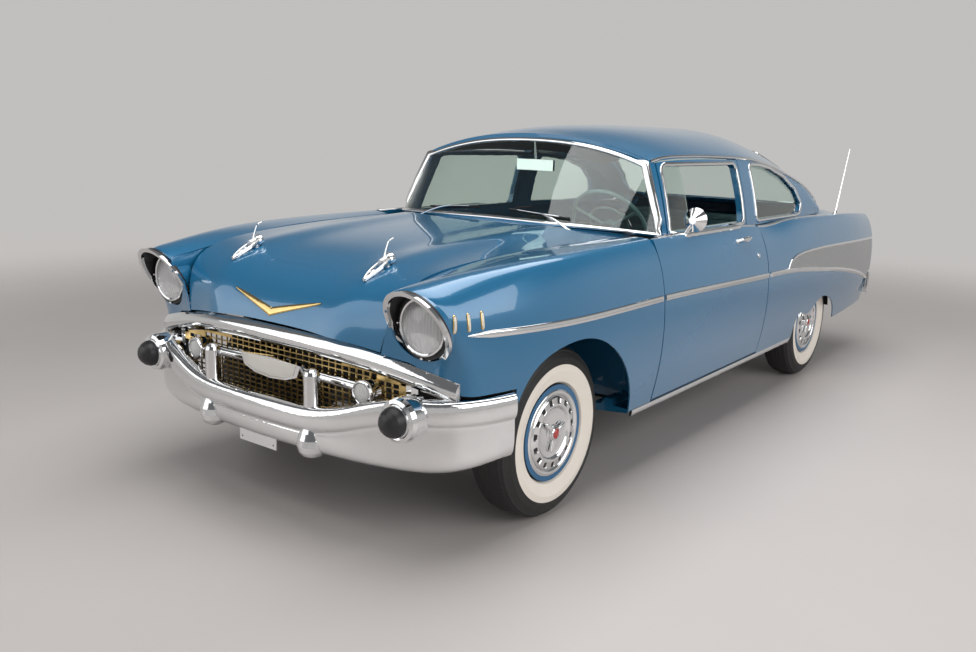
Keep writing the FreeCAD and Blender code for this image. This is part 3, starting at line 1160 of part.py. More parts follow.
def make_wheel(x, y, side, bore):
    """Pressed steel wheel with a full cover: rim barrel, disc, hub and domed cover."""
    half = RIM_WIDTH / 2
    outline = [(RIM_RADIUS, -half + 8), (RIM_RADIUS + 14, -half - 2), (RIM_RADIUS + 14, -half - 6), (RIM_RADIUS - 4, -half - 6),
               (RIM_RADIUS - 10, -half + 10), (RIM_RADIUS - 26, -20), (RIM_RADIUS - 26, 16), (90, 20), (60, 8),
               (bore, 8), (bore, 40), (60, 46), (104, 34), (150, 34), (RIM_RADIUS - 8, 40), (RIM_RADIUS - 6, half + 6),
               (RIM_RADIUS + 14, half + 6), (RIM_RADIUS + 14, half + 2), (RIM_RADIUS, half - 8)]
    profile = [V(x + a * side, y, TYRE_RADIUS + r) for r, a in outline]
    wheel = turned(profile, V(x, y, TYRE_RADIUS), V(1, 0, 0))
    cover = turned([V(x + side * 40, y, TYRE_RADIUS + 148), V(x + side * 58, y, TYRE_RADIUS + 140),
                    V(x + side * 66, y, TYRE_RADIUS + 80), V(x + side * 72, y, TYRE_RADIUS),
                    V(x + side * 62, y, TYRE_RADIUS), V(x + side * 56, y, TYRE_RADIUS + 70),
                    V(x + side * 48, y, TYRE_RADIUS + 130), V(x + side * 33, y, TYRE_RADIUS + 140)],
                   V(x, y, TYRE_RADIUS), V(1, 0, 0))
    return fused([wheel, cover])


DIFFERENTIAL_PROFILE = [(-125, 0), (-110, 60), (-70, 104), (0, 125), (70, 104), (110, 60), (125, 0)]


def make_rear_axle():
    """Rear axle with its differential, leaf springs and propeller shaft."""
    end = REAR_TRACK / 2 + 26
    parts = [rod(V(-end + 120, REAR_AXLE, 343), V(end - 120, REAR_AXLE, 343), 38),
             rod(V(-end, REAR_AXLE, 343), V(end, REAR_AXLE, 343), HUB_BORE_RADIUS),
             turned([V(x, REAR_AXLE, 343 + r) for x, r in DIFFERENTIAL_PROFILE], V(0, REAR_AXLE, 343), V(1, 0, 0)),
             rod(V(0, REAR_AXLE - 60, 340), V(0, DOOR_FRONT + 421, 350), 36)]
    for side in (1, -1):
        x = side * 520
        leaf = prism([V(x - 28, REAR_AXLE - 620, 290), V(x - 28, REAR_AXLE, 280), V(x - 28, REAR_AXLE + 640, 345),
                      V(x - 28, REAR_AXLE + 640, 357), V(x - 28, REAR_AXLE, 308), V(x - 28, REAR_AXLE - 620, 302)], V(56, 0, 0))
        parts.append(leaf)
        parts.append(box(x - 30, x + 30, REAR_AXLE - 40, REAR_AXLE + 40, 300, 345))
        parts.append(rod(V(side * (FRAME_X + 32), REAR_AXLE - 610, 296), V(x, REAR_AXLE - 610, 296), 11))
        parts.append(rod(V(side * (FRAME_X + 32), REAR_AXLE + 630, 351), V(x, REAR_AXLE + 630, 351), 11))
    return fused(parts)


def make_engine():
    """Engine and gearbox as one plain block."""
    block = box(-270, 270, FRONT_AXLE - 180, FRONT_AXLE + 420, 400, 900)
    sump = box(-150, 150, FRONT_AXLE + 190, FRONT_AXLE + 420, 250, 420)
    gearbox = box(-90, 90, FRONT_AXLE + 420, DOOR_FRONT + 420, 300, 440)
    mounts = box(-FRAME_X + 40, FRAME_X - 40, FRONT_AXLE - 40, FRONT_AXLE + 60, FRAME_BOTTOM + 130, 410)
    return fused([block, sump, gearbox, mounts])


def make_radiator():
    """Radiator core between its side tanks, standing on the front cross member."""
    y = FRONT_AXLE - 330
    base_z = FRAME_BOTTOM + 120 + FRAME_DEPTH
    core = box(-300, 300, y, y + 40, base_z, 900)
    foot = box(-FRAME_X - 20, FRAME_X + 20, y, y + 40, base_z, base_z + 24)
    tank = box(-260, 260, y - 10, y + 50, 880, 930)
    return fused([core, tank, foot])


def make_exhaust():
    """Single exhaust pipe with its silencer, hung from the frame's left rail."""
    x = EXHAUST_X
    z = EXHAUST_Z
    rail = FRAME_X - 32
    pipe = rod(V(x, FRONT_AXLE + 480, z), V(x, REAR_AXLE - 420, z), EXHAUST_RADIUS)
    rise = rod(V(x, REAR_AXLE - 424, z), V(x + 10, REAR_AXLE - 56, 470), 22)
    over = rod(V(x + 10, REAR_AXLE - 60, 470), V(x + 40, REAR_AXLE + 234, 312), 22)
    tail = rod(V(x + 40, REAR_AXLE + 228, 312), V(x + 40, TAIL - 60, 300), 22)
    silencer = rod(V(x, DOOR_REAR - 500, z), V(x, DOOR_REAR - 50, z), 60)
    front_hanger = box(x, rail, DOOR_FRONT + 560, DOOR_FRONT + 580, z - 6, z + 6)
    rear_hanger = box(x + 40, rail, REAR_AXLE + 600, REAR_AXLE + 620, 340, 352)
    rear_link = box(x + 36, x + 44, REAR_AXLE + 600, REAR_AXLE + 620, 304, 352)
    return fused([pipe, rise, over, tail, silencer, front_hanger, rear_hanger, rear_link])


FUEL_TANK_LENGTH = 494.0


def make_fuel_tank():
    """Flat fuel tank under the boot floor, between the frame rails."""
    x = FRAME_X - 90
    tank = box(-x + 60, x - 160, REAR_AXLE + 520, REAR_AXLE + 520 + FUEL_TANK_LENGTH, FRAME_BOTTOM + 99, FLOOR_HEIGHT + 120)
    return tank.makeFillet(28, [e for e in tank.Edges if abs(e.Curve.Direction.z) > 0.5])


# Cabin
COLUMN_X = 380.0
COLUMN_RAKE = 30.0
WHEEL_CENTRE = V(COLUMN_X, DOOR_FRONT + 451, 1035)
COLUMN_DIRECTION = V(0, math.cos(math.radians(COLUMN_RAKE)), math.sin(math.radians(COLUMN_RAKE)))
COLUMN_AXIS_LOW = WHEEL_CENTRE - COLUMN_DIRECTION * 820
COLUMN_AXIS_HIGH = WHEEL_CENTRE - COLUMN_DIRECTION * 60
STEERING_WHEEL_RADIUS = 215.0


def make_steering_column():
    """Steering column from the gear on the left rail up to the wheel, with its bracket under the dash."""
    tube = rod(COLUMN_AXIS_LOW, WHEEL_CENTRE - COLUMN_DIRECTION * 50, 24)
    shaft = rod(WHEEL_CENTRE - COLUMN_DIRECTION * 60, WHEEL_CENTRE + COLUMN_DIRECTION * 8, 10)
    gear = box(COLUMN_X - 46, COLUMN_X + 46, COLUMN_AXIS_LOW.y - 60, COLUMN_AXIS_LOW.y + 60,
               COLUMN_AXIS_LOW.z - 130, COLUMN_AXIS_LOW.z + 40)
    post = box(COLUMN_X - 30, COLUMN_X + 30, COLUMN_AXIS_LOW.y - 40, COLUMN_AXIS_LOW.y + 40,
               FRAME_BOTTOM + 110, COLUMN_AXIS_LOW.z - 120)
    return fused([tube, shaft, gear, post]).cut(make_frame())


def make_steering_wheel():
    """Thin-rimmed steering wheel with three spokes, a hub and a horn ring."""
    rim = ring(STEERING_WHEEL_RADIUS - 11, 11, 0)
    horn = ring(110, 5, 2, 6)
    hub = Part.makeCylinder(34, 44, V(0, 0, -30), V(0, 0, 1))
    cap = Part.makeCylinder(26, 12, V(0, 0, 10), V(0, 0, 1))
    parts = [rim, horn, hub, cap]
    for angle in (90, 210, 330):
        a = math.radians(angle)
        out = V(math.cos(a), math.sin(a), 0)
        parts.append(rod(out * 20 + V(0, 0, -6), out * (STEERING_WHEEL_RADIUS - 12), 9))
    wheel = fused(parts)
    wheel = wheel.cut(Part.makeCylinder(10 + SPINDLE_CLEARANCE, 60, V(0, 0, -50), V(0, 0, 1)))
    wheel.rotate(V(0, 0, 0), V(1, 0, 0), COLUMN_RAKE - 90)
    wheel.translate(WHEEL_CENTRE)
    return wheel


def make_dashboard():
    """Dash panel across the cabin with a hooded cluster in front of the driver."""
    y = DOOR_FRONT + 250
    profile = [V(-700, y - 170, 1040), V(-700, y - 30, 1056), V(-700, y + 20, 1046), V(-700, y + 40, 1010),
               V(-700, y + 10, 900), V(-700, y - 10, 890), V(-700, y - 10, 1000), V(-700, y - 60, 1020)]
    dash = prism(profile, V(1400, 0, 0))
    hood = Part.makeCylinder(88, 130, V(COLUMN_X, y - 60, 1030), V(0, 1, 0)).common(box(0, 800, y - 60, y + 200, 990, 1062))
    dash = fused([dash, hood])
    stay = box(690, 735, DOOR_FRONT + 30, y - 5, 1000, 1026)
    dash = fused([dash, stay, mirrored(stay)])
    return dash.cut(rod(COLUMN_AXIS_LOW, WHEEL_CENTRE, 24 + SEAT_CLEARANCE))


TUNNEL_HALF_WIDTH = 130.0
TUNNEL_TOP = FLOOR_HEIGHT + 150.0


def seat(y, width, cushion_z, depth, back_z, foot_z):
    """Bench seat: crowned cushion, raked back and a plinth that stands on the floor."""
    cushion = [V(-width, y, cushion_z - 130), V(-width, y - 10, cushion_z - 30), V(-width, y + 30, cushion_z),
               V(-width, y + depth, cushion_z - 30), V(-width, y + depth + 20, cushion_z - 130)]
    back = [V(-width, y + depth - 20, cushion_z - 60), V(-width, y + depth + 110, back_z - 20), V(-width, y + depth + 140, back_z),
            V(-width, y + depth + 190, back_z - 10), V(-width, y + depth + 205, back_z - 50),
            V(-width, y + depth + 120, cushion_z - 120), V(-width, y + depth, cushion_z - 130)]
    base = box(-width + 60, width - 60, y + 40, y + depth, foot_z, cushion_z - 90)
    bench = fused([prism(cushion, V(2 * width, 0, 0)), prism(back, V(2 * width, 0, 0)), base])
    if foot_z > TUNNEL_TOP:
        return bench
    saddle = TUNNEL_HALF_WIDTH + 6
    return bench.cut(box(-saddle, saddle, y - 50, y + depth + 60, foot_z - 1, TUNNEL_TOP + 4))


def make_front_seat():
    """Front bench seat."""
    return seat(DOOR_REAR - 620, 640, 640, 470, 980, FLOOR_HEIGHT + SHEET + 0.2)


def make_rear_seat():
    """Rear bench seat between the wheelhouses, with the parcel shelf behind it."""
    bench = seat(REAR_AXLE - 520, 600, 672, 440, 965, FLOOR_HEIGHT + 190 + SHEET + 0.2)
    shelf = box(-600, 600, REAR_AXLE + 90, REAR_AXLE + 330, 945, 960)
    return fused([bench, shelf])


def make_mirror(roof):
    """Inside mirror on its stem, hung from the windshield header."""
    head = box(-110, 110, DOOR_FRONT + 330, DOOR_FRONT + 346, 1296, 1350)
    stem = rod(V(0, DOOR_FRONT + 340, 1340), V(0, DOOR_FRONT + 322, 1480), 6)
    return fused([head, stem]).cut(roof)


def main():
    """Build every piece and write it to its file."""
    save("hood", make_hood())
    bumper = make_front_bumper()
    save("front_bumper", bumper)
    fender = make_fender()
    save("fender_left", fender)
    save("fender_right", mirrored(fender))
    save("grille_surround", make_grille_surround().cut(bumper).cut(fender).cut(mirrored(fender)))
    save("headlamps", both(make_headlamps().cut(fender)))
    door = make_door()
    save("door_left", fused([door, make_door_mirror()]))
    save("door_right", mirrored(door))
    save("door_glass_left", make_door_glass(False))
    save("door_glass_right", mirrored(make_door_glass(True)))
    roof = make_roof()
    save("roof_panel", roof)
    windshield = make_windshield()
    glass = make_fixed_glass(windshield)
    save("fixed_glass", glass)
    lamp = make_tail_lamps()
    quarter = make_quarter()
    save("quarter_panel_left", quarter)
    save("quarter_panel_right", mirrored(quarter))
    save("trunk_lid", make_trunk_lid())
    save("tail_panel", make_tail_panel([quarter, lamp]).cut(roof).cut(glass))
    save("tail_lamps", both(lamp))
    cowl = make_cowl(windshield)
    save("cowl_panel", cowl)
    save("floor_pan", make_floor())
    save("rocker_panels", make_rockers())
    save("inner_fenders", make_inner_fenders(quarter))
    save("grille", make_grille())
    save("rear_bumper", make_rear_bumper())
    save("frame", make_frame())
    save("front_suspension", make_front_suspension())
    knuckle = make_knuckle()
    save("knuckle_left", knuckle)
    save("knuckle_right", mirrored(knuckle))
    save("tie_rods", make_tie_rods())
    save("rear_axle", make_rear_axle())
    for name, x, y, bore in (("front_left", FRONT_TRACK / 2, FRONT_AXLE, HUB_BORE_RADIUS),
                             ("front_right", -FRONT_TRACK / 2, FRONT_AXLE, HUB_BORE_RADIUS),
                             ("rear_left", REAR_TRACK / 2, REAR_AXLE, HUB_BORE_RADIUS),
                             ("rear_right", -REAR_TRACK / 2, REAR_AXLE, HUB_BORE_RADIUS)):
        save("tyre_" + name, make_tyre(x, y))
        save("wheel_" + name, make_wheel(x, y, 1 if x > 0 else -1, bore + SPINDLE_CLEARANCE))
    save("engine", make_engine())
    save("radiator", make_radiator())
    save("exhaust", make_exhaust())
    save("fuel_tank", make_fuel_tank())
    save("steering_column", make_steering_column())
    save("steering_wheel", make_steering_wheel())
    save("dashboard", make_dashboard().cut(cowl))
    save("front_seat", make_front_seat())
    save("rear_seat", make_rear_seat())
    save("inside_mirror", make_mirror(roof))


main()
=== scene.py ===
import math

import bmesh
import bpy
import numpy as np
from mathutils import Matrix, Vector
from mathutils.bvhtree import BVHTree


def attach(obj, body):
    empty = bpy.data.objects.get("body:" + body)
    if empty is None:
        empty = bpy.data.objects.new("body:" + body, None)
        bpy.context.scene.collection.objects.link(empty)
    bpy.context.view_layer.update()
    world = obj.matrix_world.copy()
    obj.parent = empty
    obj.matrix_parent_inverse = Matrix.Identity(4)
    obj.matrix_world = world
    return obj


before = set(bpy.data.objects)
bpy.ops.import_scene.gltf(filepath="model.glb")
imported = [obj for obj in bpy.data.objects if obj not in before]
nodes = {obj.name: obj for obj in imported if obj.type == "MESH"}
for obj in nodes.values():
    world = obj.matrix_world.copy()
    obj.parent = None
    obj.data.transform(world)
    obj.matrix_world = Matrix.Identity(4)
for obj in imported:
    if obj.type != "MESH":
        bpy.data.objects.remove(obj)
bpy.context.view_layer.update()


# Camera and studio
# The car stands in a pale photo studio with a seamless floor. A big soft light hangs above it, with a long
# one beside it, and the walls are only a quiet grey glow that the paint and the bright parts reflect.
CAMERA_PLACE = (2.6436, -4.5769, 1.4934)
CAMERA_AZIMUTH = math.radians(37.043)
CAMERA_ELEVATION = math.radians(12.182)
CAMERA_ROLL = math.radians(1.4835)
CAMERA_SENSOR = 36.0
CAMERA_LENS = 33.595
FLOOR_FADE = (2.9, 8.0)


def unit(rows):
    """Each row scaled to length one."""
    return rows / np.linalg.norm(rows, axis=-1, keepdims=True)


def pose(place, back, right):
    """World matrix of a camera or a light at place, which looks away from back."""
    matrix = np.eye(4)
    matrix[:3] = np.column_stack([right, np.cross(back, right), back, place])
    return matrix.T.tolist()


def camera_pose(place, azimuth, elevation, roll):
    """Camera turned by azimuth about Z, tipped down by elevation, then rolled about its own line of sight."""
    level = math.cos(elevation)
    back = np.array([math.sin(azimuth) * level, -math.cos(azimuth) * level, math.sin(elevation)])
    right = np.array([math.cos(azimuth), math.sin(azimuth), 0.0])
    return pose(place, back, math.cos(roll) * right + math.sin(roll) * np.cross(back, right))


lens = bpy.data.cameras.new("photo_lens")
lens.sensor_width = CAMERA_SENSOR
lens.lens = CAMERA_LENS
camera = bpy.data.objects.new("photo_camera", lens)
camera.matrix_world = camera_pose(CAMERA_PLACE, CAMERA_AZIMUTH, CAMERA_ELEVATION, CAMERA_ROLL)
bpy.context.scene.collection.objects.link(camera)
bpy.context.scene.camera = camera
bpy.context.scene.view_settings.view_transform = "Standard"


class Wire:
    """A socket of a material. Python's + - * on it add Math nodes, and add() puts in any other node."""

    def __init__(self, tree, socket=None):
        self.tree = tree
        self.socket = socket

    def add(self, kind, settings=None, inputs=None, output=0):
        """Node of that kind: its settings first, then a value or a link for each input."""
        node = self.tree.nodes.new("ShaderNode" + kind)
        for name, value in (settings or {}).items():
            setattr(node, name, value)
        for name, value in (inputs or {}).items():
            if isinstance(value, Wire):
                self.tree.links.new(value.socket, node.inputs[name])
            else:
                node.inputs[name].default_value = value
        return Wire(self.tree, node.outputs[output])

    def maths(self, operation, *values):
        """Math node of these values, or of this one alone."""
        return self.add("Math", {"operation": operation}, dict(enumerate(values or (self,))))

    def sine(self):
        """Sine of this value in radians."""
        return self.maths("SINE")

    def __add__(self, other):
        return self.maths("ADD", self, other)

    def __radd__(self, other):
        return self.maths("ADD", other, self)

    def __sub__(self, other):
        return self.maths("SUBTRACT", self, other)

    def __rsub__(self, other):
        return self.maths("SUBTRACT", other, self)

    def __mul__(self, other):
        return self.maths("MULTIPLY", self, other)

    def __rmul__(self, other):
        return self.maths("MULTIPLY", other, self)

    def between(self, low, high):
        """0 below low, 1 above high and a smooth step from one to the other."""
        return self.add("MapRange", {"interpolation_type": "SMOOTHSTEP"}, {"Value": self, 1: low, 2: high})

    def blend(self, first, second):
        """Colour that goes from first to second as this mask goes from 0 to 1."""
        first = (*first, 1.0) if isinstance(first, tuple) else first
        second = (*second, 1.0) if isinstance(second, tuple) else second
        return self.add("Mix", {"data_type": "RGBA"}, {0: self, 6: first, 7: second}, 2)

    def bump(self, strength, distance):
        """Normal that this height raises."""
        return self.add("Bump", None, {"Strength": strength, "Distance": distance, "Height": self})


def finish(name, build, **plain):
    """New material: build(place) gets the Object coordinates and says what each shader input takes."""
    material = bpy.data.materials.new(name)
    material.use_nodes = True
    tree = material.node_tree
    shader = tree.nodes["Principled BSDF"]
    for key, value in plain.items():
        shader.inputs[key.replace("_", " ")].default_value = value
    place = Wire(tree).add("TexCoord", None, None, 3)
    for key, wire in build(place).items():
        tree.links.new(wire.socket, shader.inputs[key])
    return material


def noise(place, scale, detail=2.0):
    """Cloudy pattern from 0 to 1 with so many cycles a metre."""
    return place.add("TexNoise", None, {"Vector": place, "Scale": scale, "Detail": detail})


def floor_look(place):
    """Painted studio floor, a little uneven in tone, that fades into the backdrop far from the car."""
    tone = noise(place, 0.8, 4.0)
    far = place.add("VectorMath", {"operation": "LENGTH"}, {0: place}, 1)
    return {"Base Color": tone.blend((0.50, 0.465, 0.45), (0.55, 0.515, 0.495)),
            "Roughness": noise(place, 6.0, 3.0) * 0.1 + 0.42, "Alpha": 1.0 - far.between(*FLOOR_FADE)}


FLOOR_HALF = 30.0
floor_mesh = bpy.data.meshes.new("studio_floor")
floor_corners = [(x * FLOOR_HALF, y * FLOOR_HALF, 0) for x, y in ((-1, -1), (1, -1), (1, 1), (-1, 1))]
floor_mesh.from_pydata(floor_corners, [], [(0, 1, 2, 3)])
floor = bpy.data.objects.new("studio_floor", floor_mesh)
floor_mesh.materials.append(finish("studio_floor", floor_look))
bpy.context.scene.collection.objects.link(floor)

world = bpy.data.worlds.new("studio_walls")
bpy.context.scene.world = world
world.use_nodes = True
walls = world.node_tree.nodes["Background"]
sky = Wire(world.node_tree)
height = sky.add("SeparateXYZ", None, {"Vector": sky.add("TexCoord", None, None, 0)}, 2)
backdrop = height.between(-0.35, 0.02).blend((0.560, 0.520, 0.500), (0.530, 0.525, 0.515))
wall_tone = height.between(0.15, 0.42).blend(backdrop, (0.15, 0.155, 0.16))
world.node_tree.links.new(wall_tone.socket, walls.inputs["Color"])
walls.inputs["Strength"].default_value = 1.0


def soft_light(name, place, aim, width, depth, power):
    """Rectangular light of that size at place, pointing at aim."""
    lamp = bpy.data.lights.new(name, "AREA")
    lamp.shape = "RECTANGLE"
    lamp.size = width
    lamp.size_y = depth
    lamp.energy = power
    light = bpy.data.objects.new(name, lamp)
    back = unit(np.subtract(place, aim))
    light.matrix_world = pose(place, back, unit(np.cross((0.0, 1.0, 0.02), back)))
    bpy.context.scene.collection.objects.link(light)


soft_light("overhead_light", (0.4, -0.4, 4.6), (0, 0, 0), 3.4, 7.0, 245)
soft_light("side_light", (5.5, -1.2, 3.0), (0, 0, 0.6), 3.0, 7.0, 175)
soft_light("front_light", (-2.5, -6.0, 3.2), (0, -1.0, 0.5), 6.0, 4.0, 105)


# Body paint
# The shell is pressed steel in a mid blue gloss enamel with a clear top coat. It has a faint ripple from the
# spray gun, and stays as clean as a restored car's. The door mirror on the left door is plated.
MM = 0.001
SHELL_BLUE = ((0.010, 0.134, 0.278), (0.014, 0.156, 0.318))
MIRROR_FOOT = (0.828, 1.051)
ENAMEL_COAT = {"Coat_Weight": 1.0, "Coat_Roughness": 0.02, "Coat_IOR": 1.5}
PAINTED = ["cowl_panel", "door_right", "fender_left", "fender_right", "hood", "quarter_panel_left",
           "quarter_panel_right", "roof_panel", "rocker_panels", "tail_panel", "trunk_lid"]


def body_enamel(place):
    """Mid blue with a soft change of depth, and orange peel too fine to see from afar."""
    depth = noise(place, 1.6, 3.0)
    peel = noise(place, 420.0, 2.0)
    return {"Base Color": depth.blend(*SHELL_BLUE), "Roughness": noise(place, 30.0, 3.0) * 0.06 + 0.22,
            "Normal": peel.bump(0.02, 0.001)}


def axis_of(place, number):
    """One coordinate of the place: 0 across the car, 1 along it, 2 up."""
    return place.add("SeparateXYZ", None, {"Vector": place}, number)


def door_enamel(place):
    """The same blue, and bright plate where the mirror stands out from the shoulder."""
    across, up = MIRROR_FOOT
    above = axis_of(place, 2).between(up, up + 0.003)
    plated = axis_of(place, 0).between(across, across + 0.004) * above
    blue = body_enamel(place)
    return {"Base Color": plated.blend(blue["Base Color"], (0.78, 0.78, 0.78)),
            "Metallic": plated * 0.8 + 0.2, "Roughness": blue["Roughness"] * (1.0 - plated * 0.75),
            "Normal": blue["Normal"]}


def coat(material, names):
    """Gives CAD nodes that material in all their slots."""
    for name in names:
        for slot in nodes[name].material_slots:
            slot.material = material


enamel = finish("body_enamel", body_enamel, Metallic=0.2, **ENAMEL_COAT)
coat(enamel, PAINTED)
coat(finish("door_enamel", door_enamel, **ENAMEL_COAT), ["door_left"])


# Bright parts
# Bumpers, lamp rims and mouldings are plated steel with a mirror polish, with slow waves left by the press.
# The bumper's two bullets end in black rubber cones, and the lamp hoods are black inside their rims.
BULLET_TIP = -2.4835
BULLET_SIDE = 0.60
LAMP_HOOD_TIP = (-2.472, 0.977)
LAMP_HOOD_LEAN = 0.5726
LAMP_RIM_DEPTH = 0.013


def plating(place):
    """Mirror metal with faint waves and a trace of haze."""
    haze = noise(place, 14.0, 4.0)
    wave = noise(place, 9.0, 1.0)
    return {"Base Color": haze.blend((0.72, 0.73, 0.74), (0.82, 0.82, 0.82)),
            "Roughness": haze * 0.05 + 0.04, "Normal": wave.bump(0.06, 0.01)}


def plated_and_black(place, mask, colour, roughness):
    """Bright plate that turns dark, dull and bare of metal where the mask is 1."""
    plate = plating(place)
    return {"Base Color": mask.blend(plate["Base Color"], colour), "Metallic": 1.0 - mask,
            "Roughness": plate["Roughness"] + mask * roughness, "Normal": plate["Normal"]}


def bumper_plating(place):
    """Bright plate, and rubber on the tips of the two bullets."""
    side = place.add("VectorMath", {"operation": "ABSOLUTE"}, {0: place})
    ahead = 1.0 - axis_of(place, 1).between(BULLET_TIP, BULLET_TIP + 0.001)
    tip = ahead * axis_of(side, 0).between(BULLET_SIDE, BULLET_SIDE + 0.001)
    return plated_and_black(place, tip, (0.012, 0.012, 0.013), 0.35)


def lamp_hood_plating(place):
    """Bright plate on the lamp hood's rim, black behind the leaning plane in which the rim's front lies."""
    tip_y, tip_z = LAMP_HOOD_TIP
    behind = axis_of(place, 1) - tip_y - (tip_z - axis_of(place, 2)) * LAMP_HOOD_LEAN
    inside = behind.between(LAMP_RIM_DEPTH, LAMP_RIM_DEPTH + 0.001)
    return plated_and_black(place, inside, (0.010, 0.010, 0.011), 0.4)


chrome = finish("bright_plating", plating, Metallic=1.0)
coat(chrome, ["rear_bumper", "grille_surround", "inside_mirror"])
coat(finish("lamp_hood_plating", lamp_hood_plating), ["headlamps"])
coat(finish("bumper_plating", bumper_plating), ["front_bumper"])


# Side spears
# A long moulding of plated steel runs along each side from a pointed tip under the lamp to the tail, in three
# lengths that part at the door. Clips behind it hold it to the panels.
DOOR_FRONT = -1046.0
DOOR_REAR = 170.0
SPEAR_FRONT = -2310.0
SPEAR_REAR = 2290.0
SPEAR_WIDTH = 27.0
SPEAR_HEIGHT = 7.0
SPEAR = np.array([(-2310, 833), (-2250, 829), (-2100, 822), (-1900, 815), (-1655, 809), (-1300, 807),
                  (-1046, 806), (-700, 797), (-300, 783), (163, 769), (472, 762), (700, 746), (949, 721),
                  (1280, 688), (1617, 647), (1900, 602), (2144, 550), (2290, 512)], float)
HALF_ROUND = np.array([(-0.5, -0.5), (-0.5, 0.3), (-0.44, 0.66), (-0.3, 0.88), (-0.1, 0.99), (0.1, 0.99),
                       (0.3, 0.88), (0.44, 0.66), (0.5, 0.3), (0.5, -0.5)])
BESIDE = 1300.0
WIDEST = 934.5
FAR = 9999.0
SIDE_NAMES = ((1, "left"), (-1, "right"))


def search_tree(*names):
    """Tree of the CAD faces of these nodes, for rays to meet."""
    points = []
    faces = []
    start = 0
    for name in names:
        mesh = nodes[name].data
        place = np.empty(len(mesh.vertices) * 3, np.float32)
        mesh.vertices.foreach_get("co", place)
        corner = np.empty(len(mesh.loops), np.int32)
        mesh.loops.foreach_get("vertex_index", corner)
        points.append(place.reshape(-1, 3))
        faces.append(corner.reshape(-1, 3) + start)
        start += len(mesh.vertices)
    return BVHTree.FromPolygons(np.vstack(points).tolist(), np.vstack(faces).tolist())


def cast(tree, starts, direction):
    """Where rays from these places, all one way, first meet the tree: places in mm and outward directions.

    A ray that meets nothing takes the value between those of its neighbours along the row of rays."""
    way = Vector(direction).normalized()
    hits = [tree.ray_cast(Vector(start) * MM, way) for start in np.asarray(starts, float)]
    met = np.array([hit[0] is not None for hit in hits])
    places = np.array([hit[0] if hit[0] is not None else (0, 0, 0) for hit in hits], float) / MM
    normals = np.array([hit[1] if hit[0] is not None else (0, 0, 0) for hit in hits], float)
    normals *= np.where(normals @ np.array(way) > 0, -1.0, 1.0)[:, None]
    order = np.arange(len(hits))
    for k in range(3):
        places[:, k] = np.interp(order, order[met], places[met, k])
        normals[:, k] = np.interp(order, order[met], normals[met, k])
    return places, unit(normals)


def cast_side(tree, flat):
    """Where rays from the car's left meet the tree, one for each (y, z) point."""
    return cast(tree, np.column_stack([np.full(len(flat), BESIDE), flat]), (-1, 0, 0))


def along(points, count):
    """So many places evenly spaced along the broken line through these points."""
    points = np.asarray(points, float)
    run = np.concatenate([[0], np.cumsum(np.linalg.norm(np.diff(points, axis=0), axis=1))])
    even = np.linspace(0, run[-1], count)
    return np.stack([np.interp(even, run, column) for column in points.T], axis=1)


def smoothed(values, rounds):
    """The row with each inner value drawn so many times to the mean of its two neighbours."""
    values = np.array(values, float)
    for _ in range(rounds):
        values[1:-1] = values[1:-1] * 0.5 + (values[:-2] + values[2:]) * 0.25
    return values


def moulding(line, outward, width, height, joined=False):
    """Half-round strip: section point (a, b) goes to line + a width across + b height outward."""
    line = np.asarray(line, float)
    if joined:
        run = unit(np.roll(line, -1, axis=0) - np.roll(line, 1, axis=0))
    else:
        run = unit(np.gradient(line, axis=0))
    out = unit(outward - (outward * run).sum(axis=1)[:, None] * run)
    across = np.cross(run, out)
    width = np.broadcast_to(width, len(line))[:, None, None]
    height = np.broadcast_to(height, len(line))[:, None, None]
    sideways = across[:, None] * width * HALF_ROUND[None, :, :1]
    grid = line[:, None] + sideways + out[:, None] * height * HALF_ROUND[None, :, 1:]
    if joined:
        return grid, True, True
    ends = grid.mean(axis=1, keepdims=True)
    first = np.broadcast_to(ends[0], grid[:1].shape)
    last = np.broadcast_to(ends[-1], grid[:1].shape)
    return np.concatenate([first, grid, last]), False, True


def slab(front, back):
    """Closed sheet between two like grids: each row runs along the front one and back along the rear one."""
    ring = np.concatenate([front, back[:, ::-1]], axis=1)
    middle = (front + back) / 2
    hem = np.concatenate([middle, middle[:, ::-1]], axis=1)
    return np.concatenate([hem[:1], ring, hem[-1:]]), False, True


def fitted(name, grids, material, body="body_shell", crease=38.0):
    """New piece of the car from grids in mm, closed, facing outwards and riding on that body."""
    points = []
    faces = []
    start = 0
    for grid, round_rows, round_columns in grids:
        rows, columns = grid.shape[:2]
        number = np.arange(rows * columns).reshape(rows, columns) + start
        if round_rows:
            number = np.vstack([number, number[:1]])
        if round_columns:
            number = np.hstack([number, number[:, :1]])
        quads = np.stack([number[:-1, :-1], number[1:, :-1], number[1:, 1:], number[:-1, 1:]], axis=-1)
        points.append(grid.reshape(-1, 3))
        faces.append(quads.reshape(-1, 4))
        start += rows * columns
    mesh = bpy.data.meshes.new(name)
    mesh.from_pydata((np.vstack(points) * MM).tolist(), [], np.vstack(faces).tolist())
    work = bmesh.new()
    work.from_mesh(mesh)
    bmesh.ops.remove_doubles(work, verts=work.verts, dist=0.00001)
    bmesh.ops.recalc_face_normals(work, faces=work.faces)
    work.to_mesh(mesh)
    work.free()
    mesh.polygons.foreach_set("use_smooth", np.ones(len(mesh.polygons), bool))
    mesh.set_sharp_from_angle(angle=math.radians(crease))
    mesh.materials.append(material)
    item = bpy.data.objects.new(name, mesh)
    bpy.context.scene.collection.objects.link(item)
    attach(item, body)
    return item


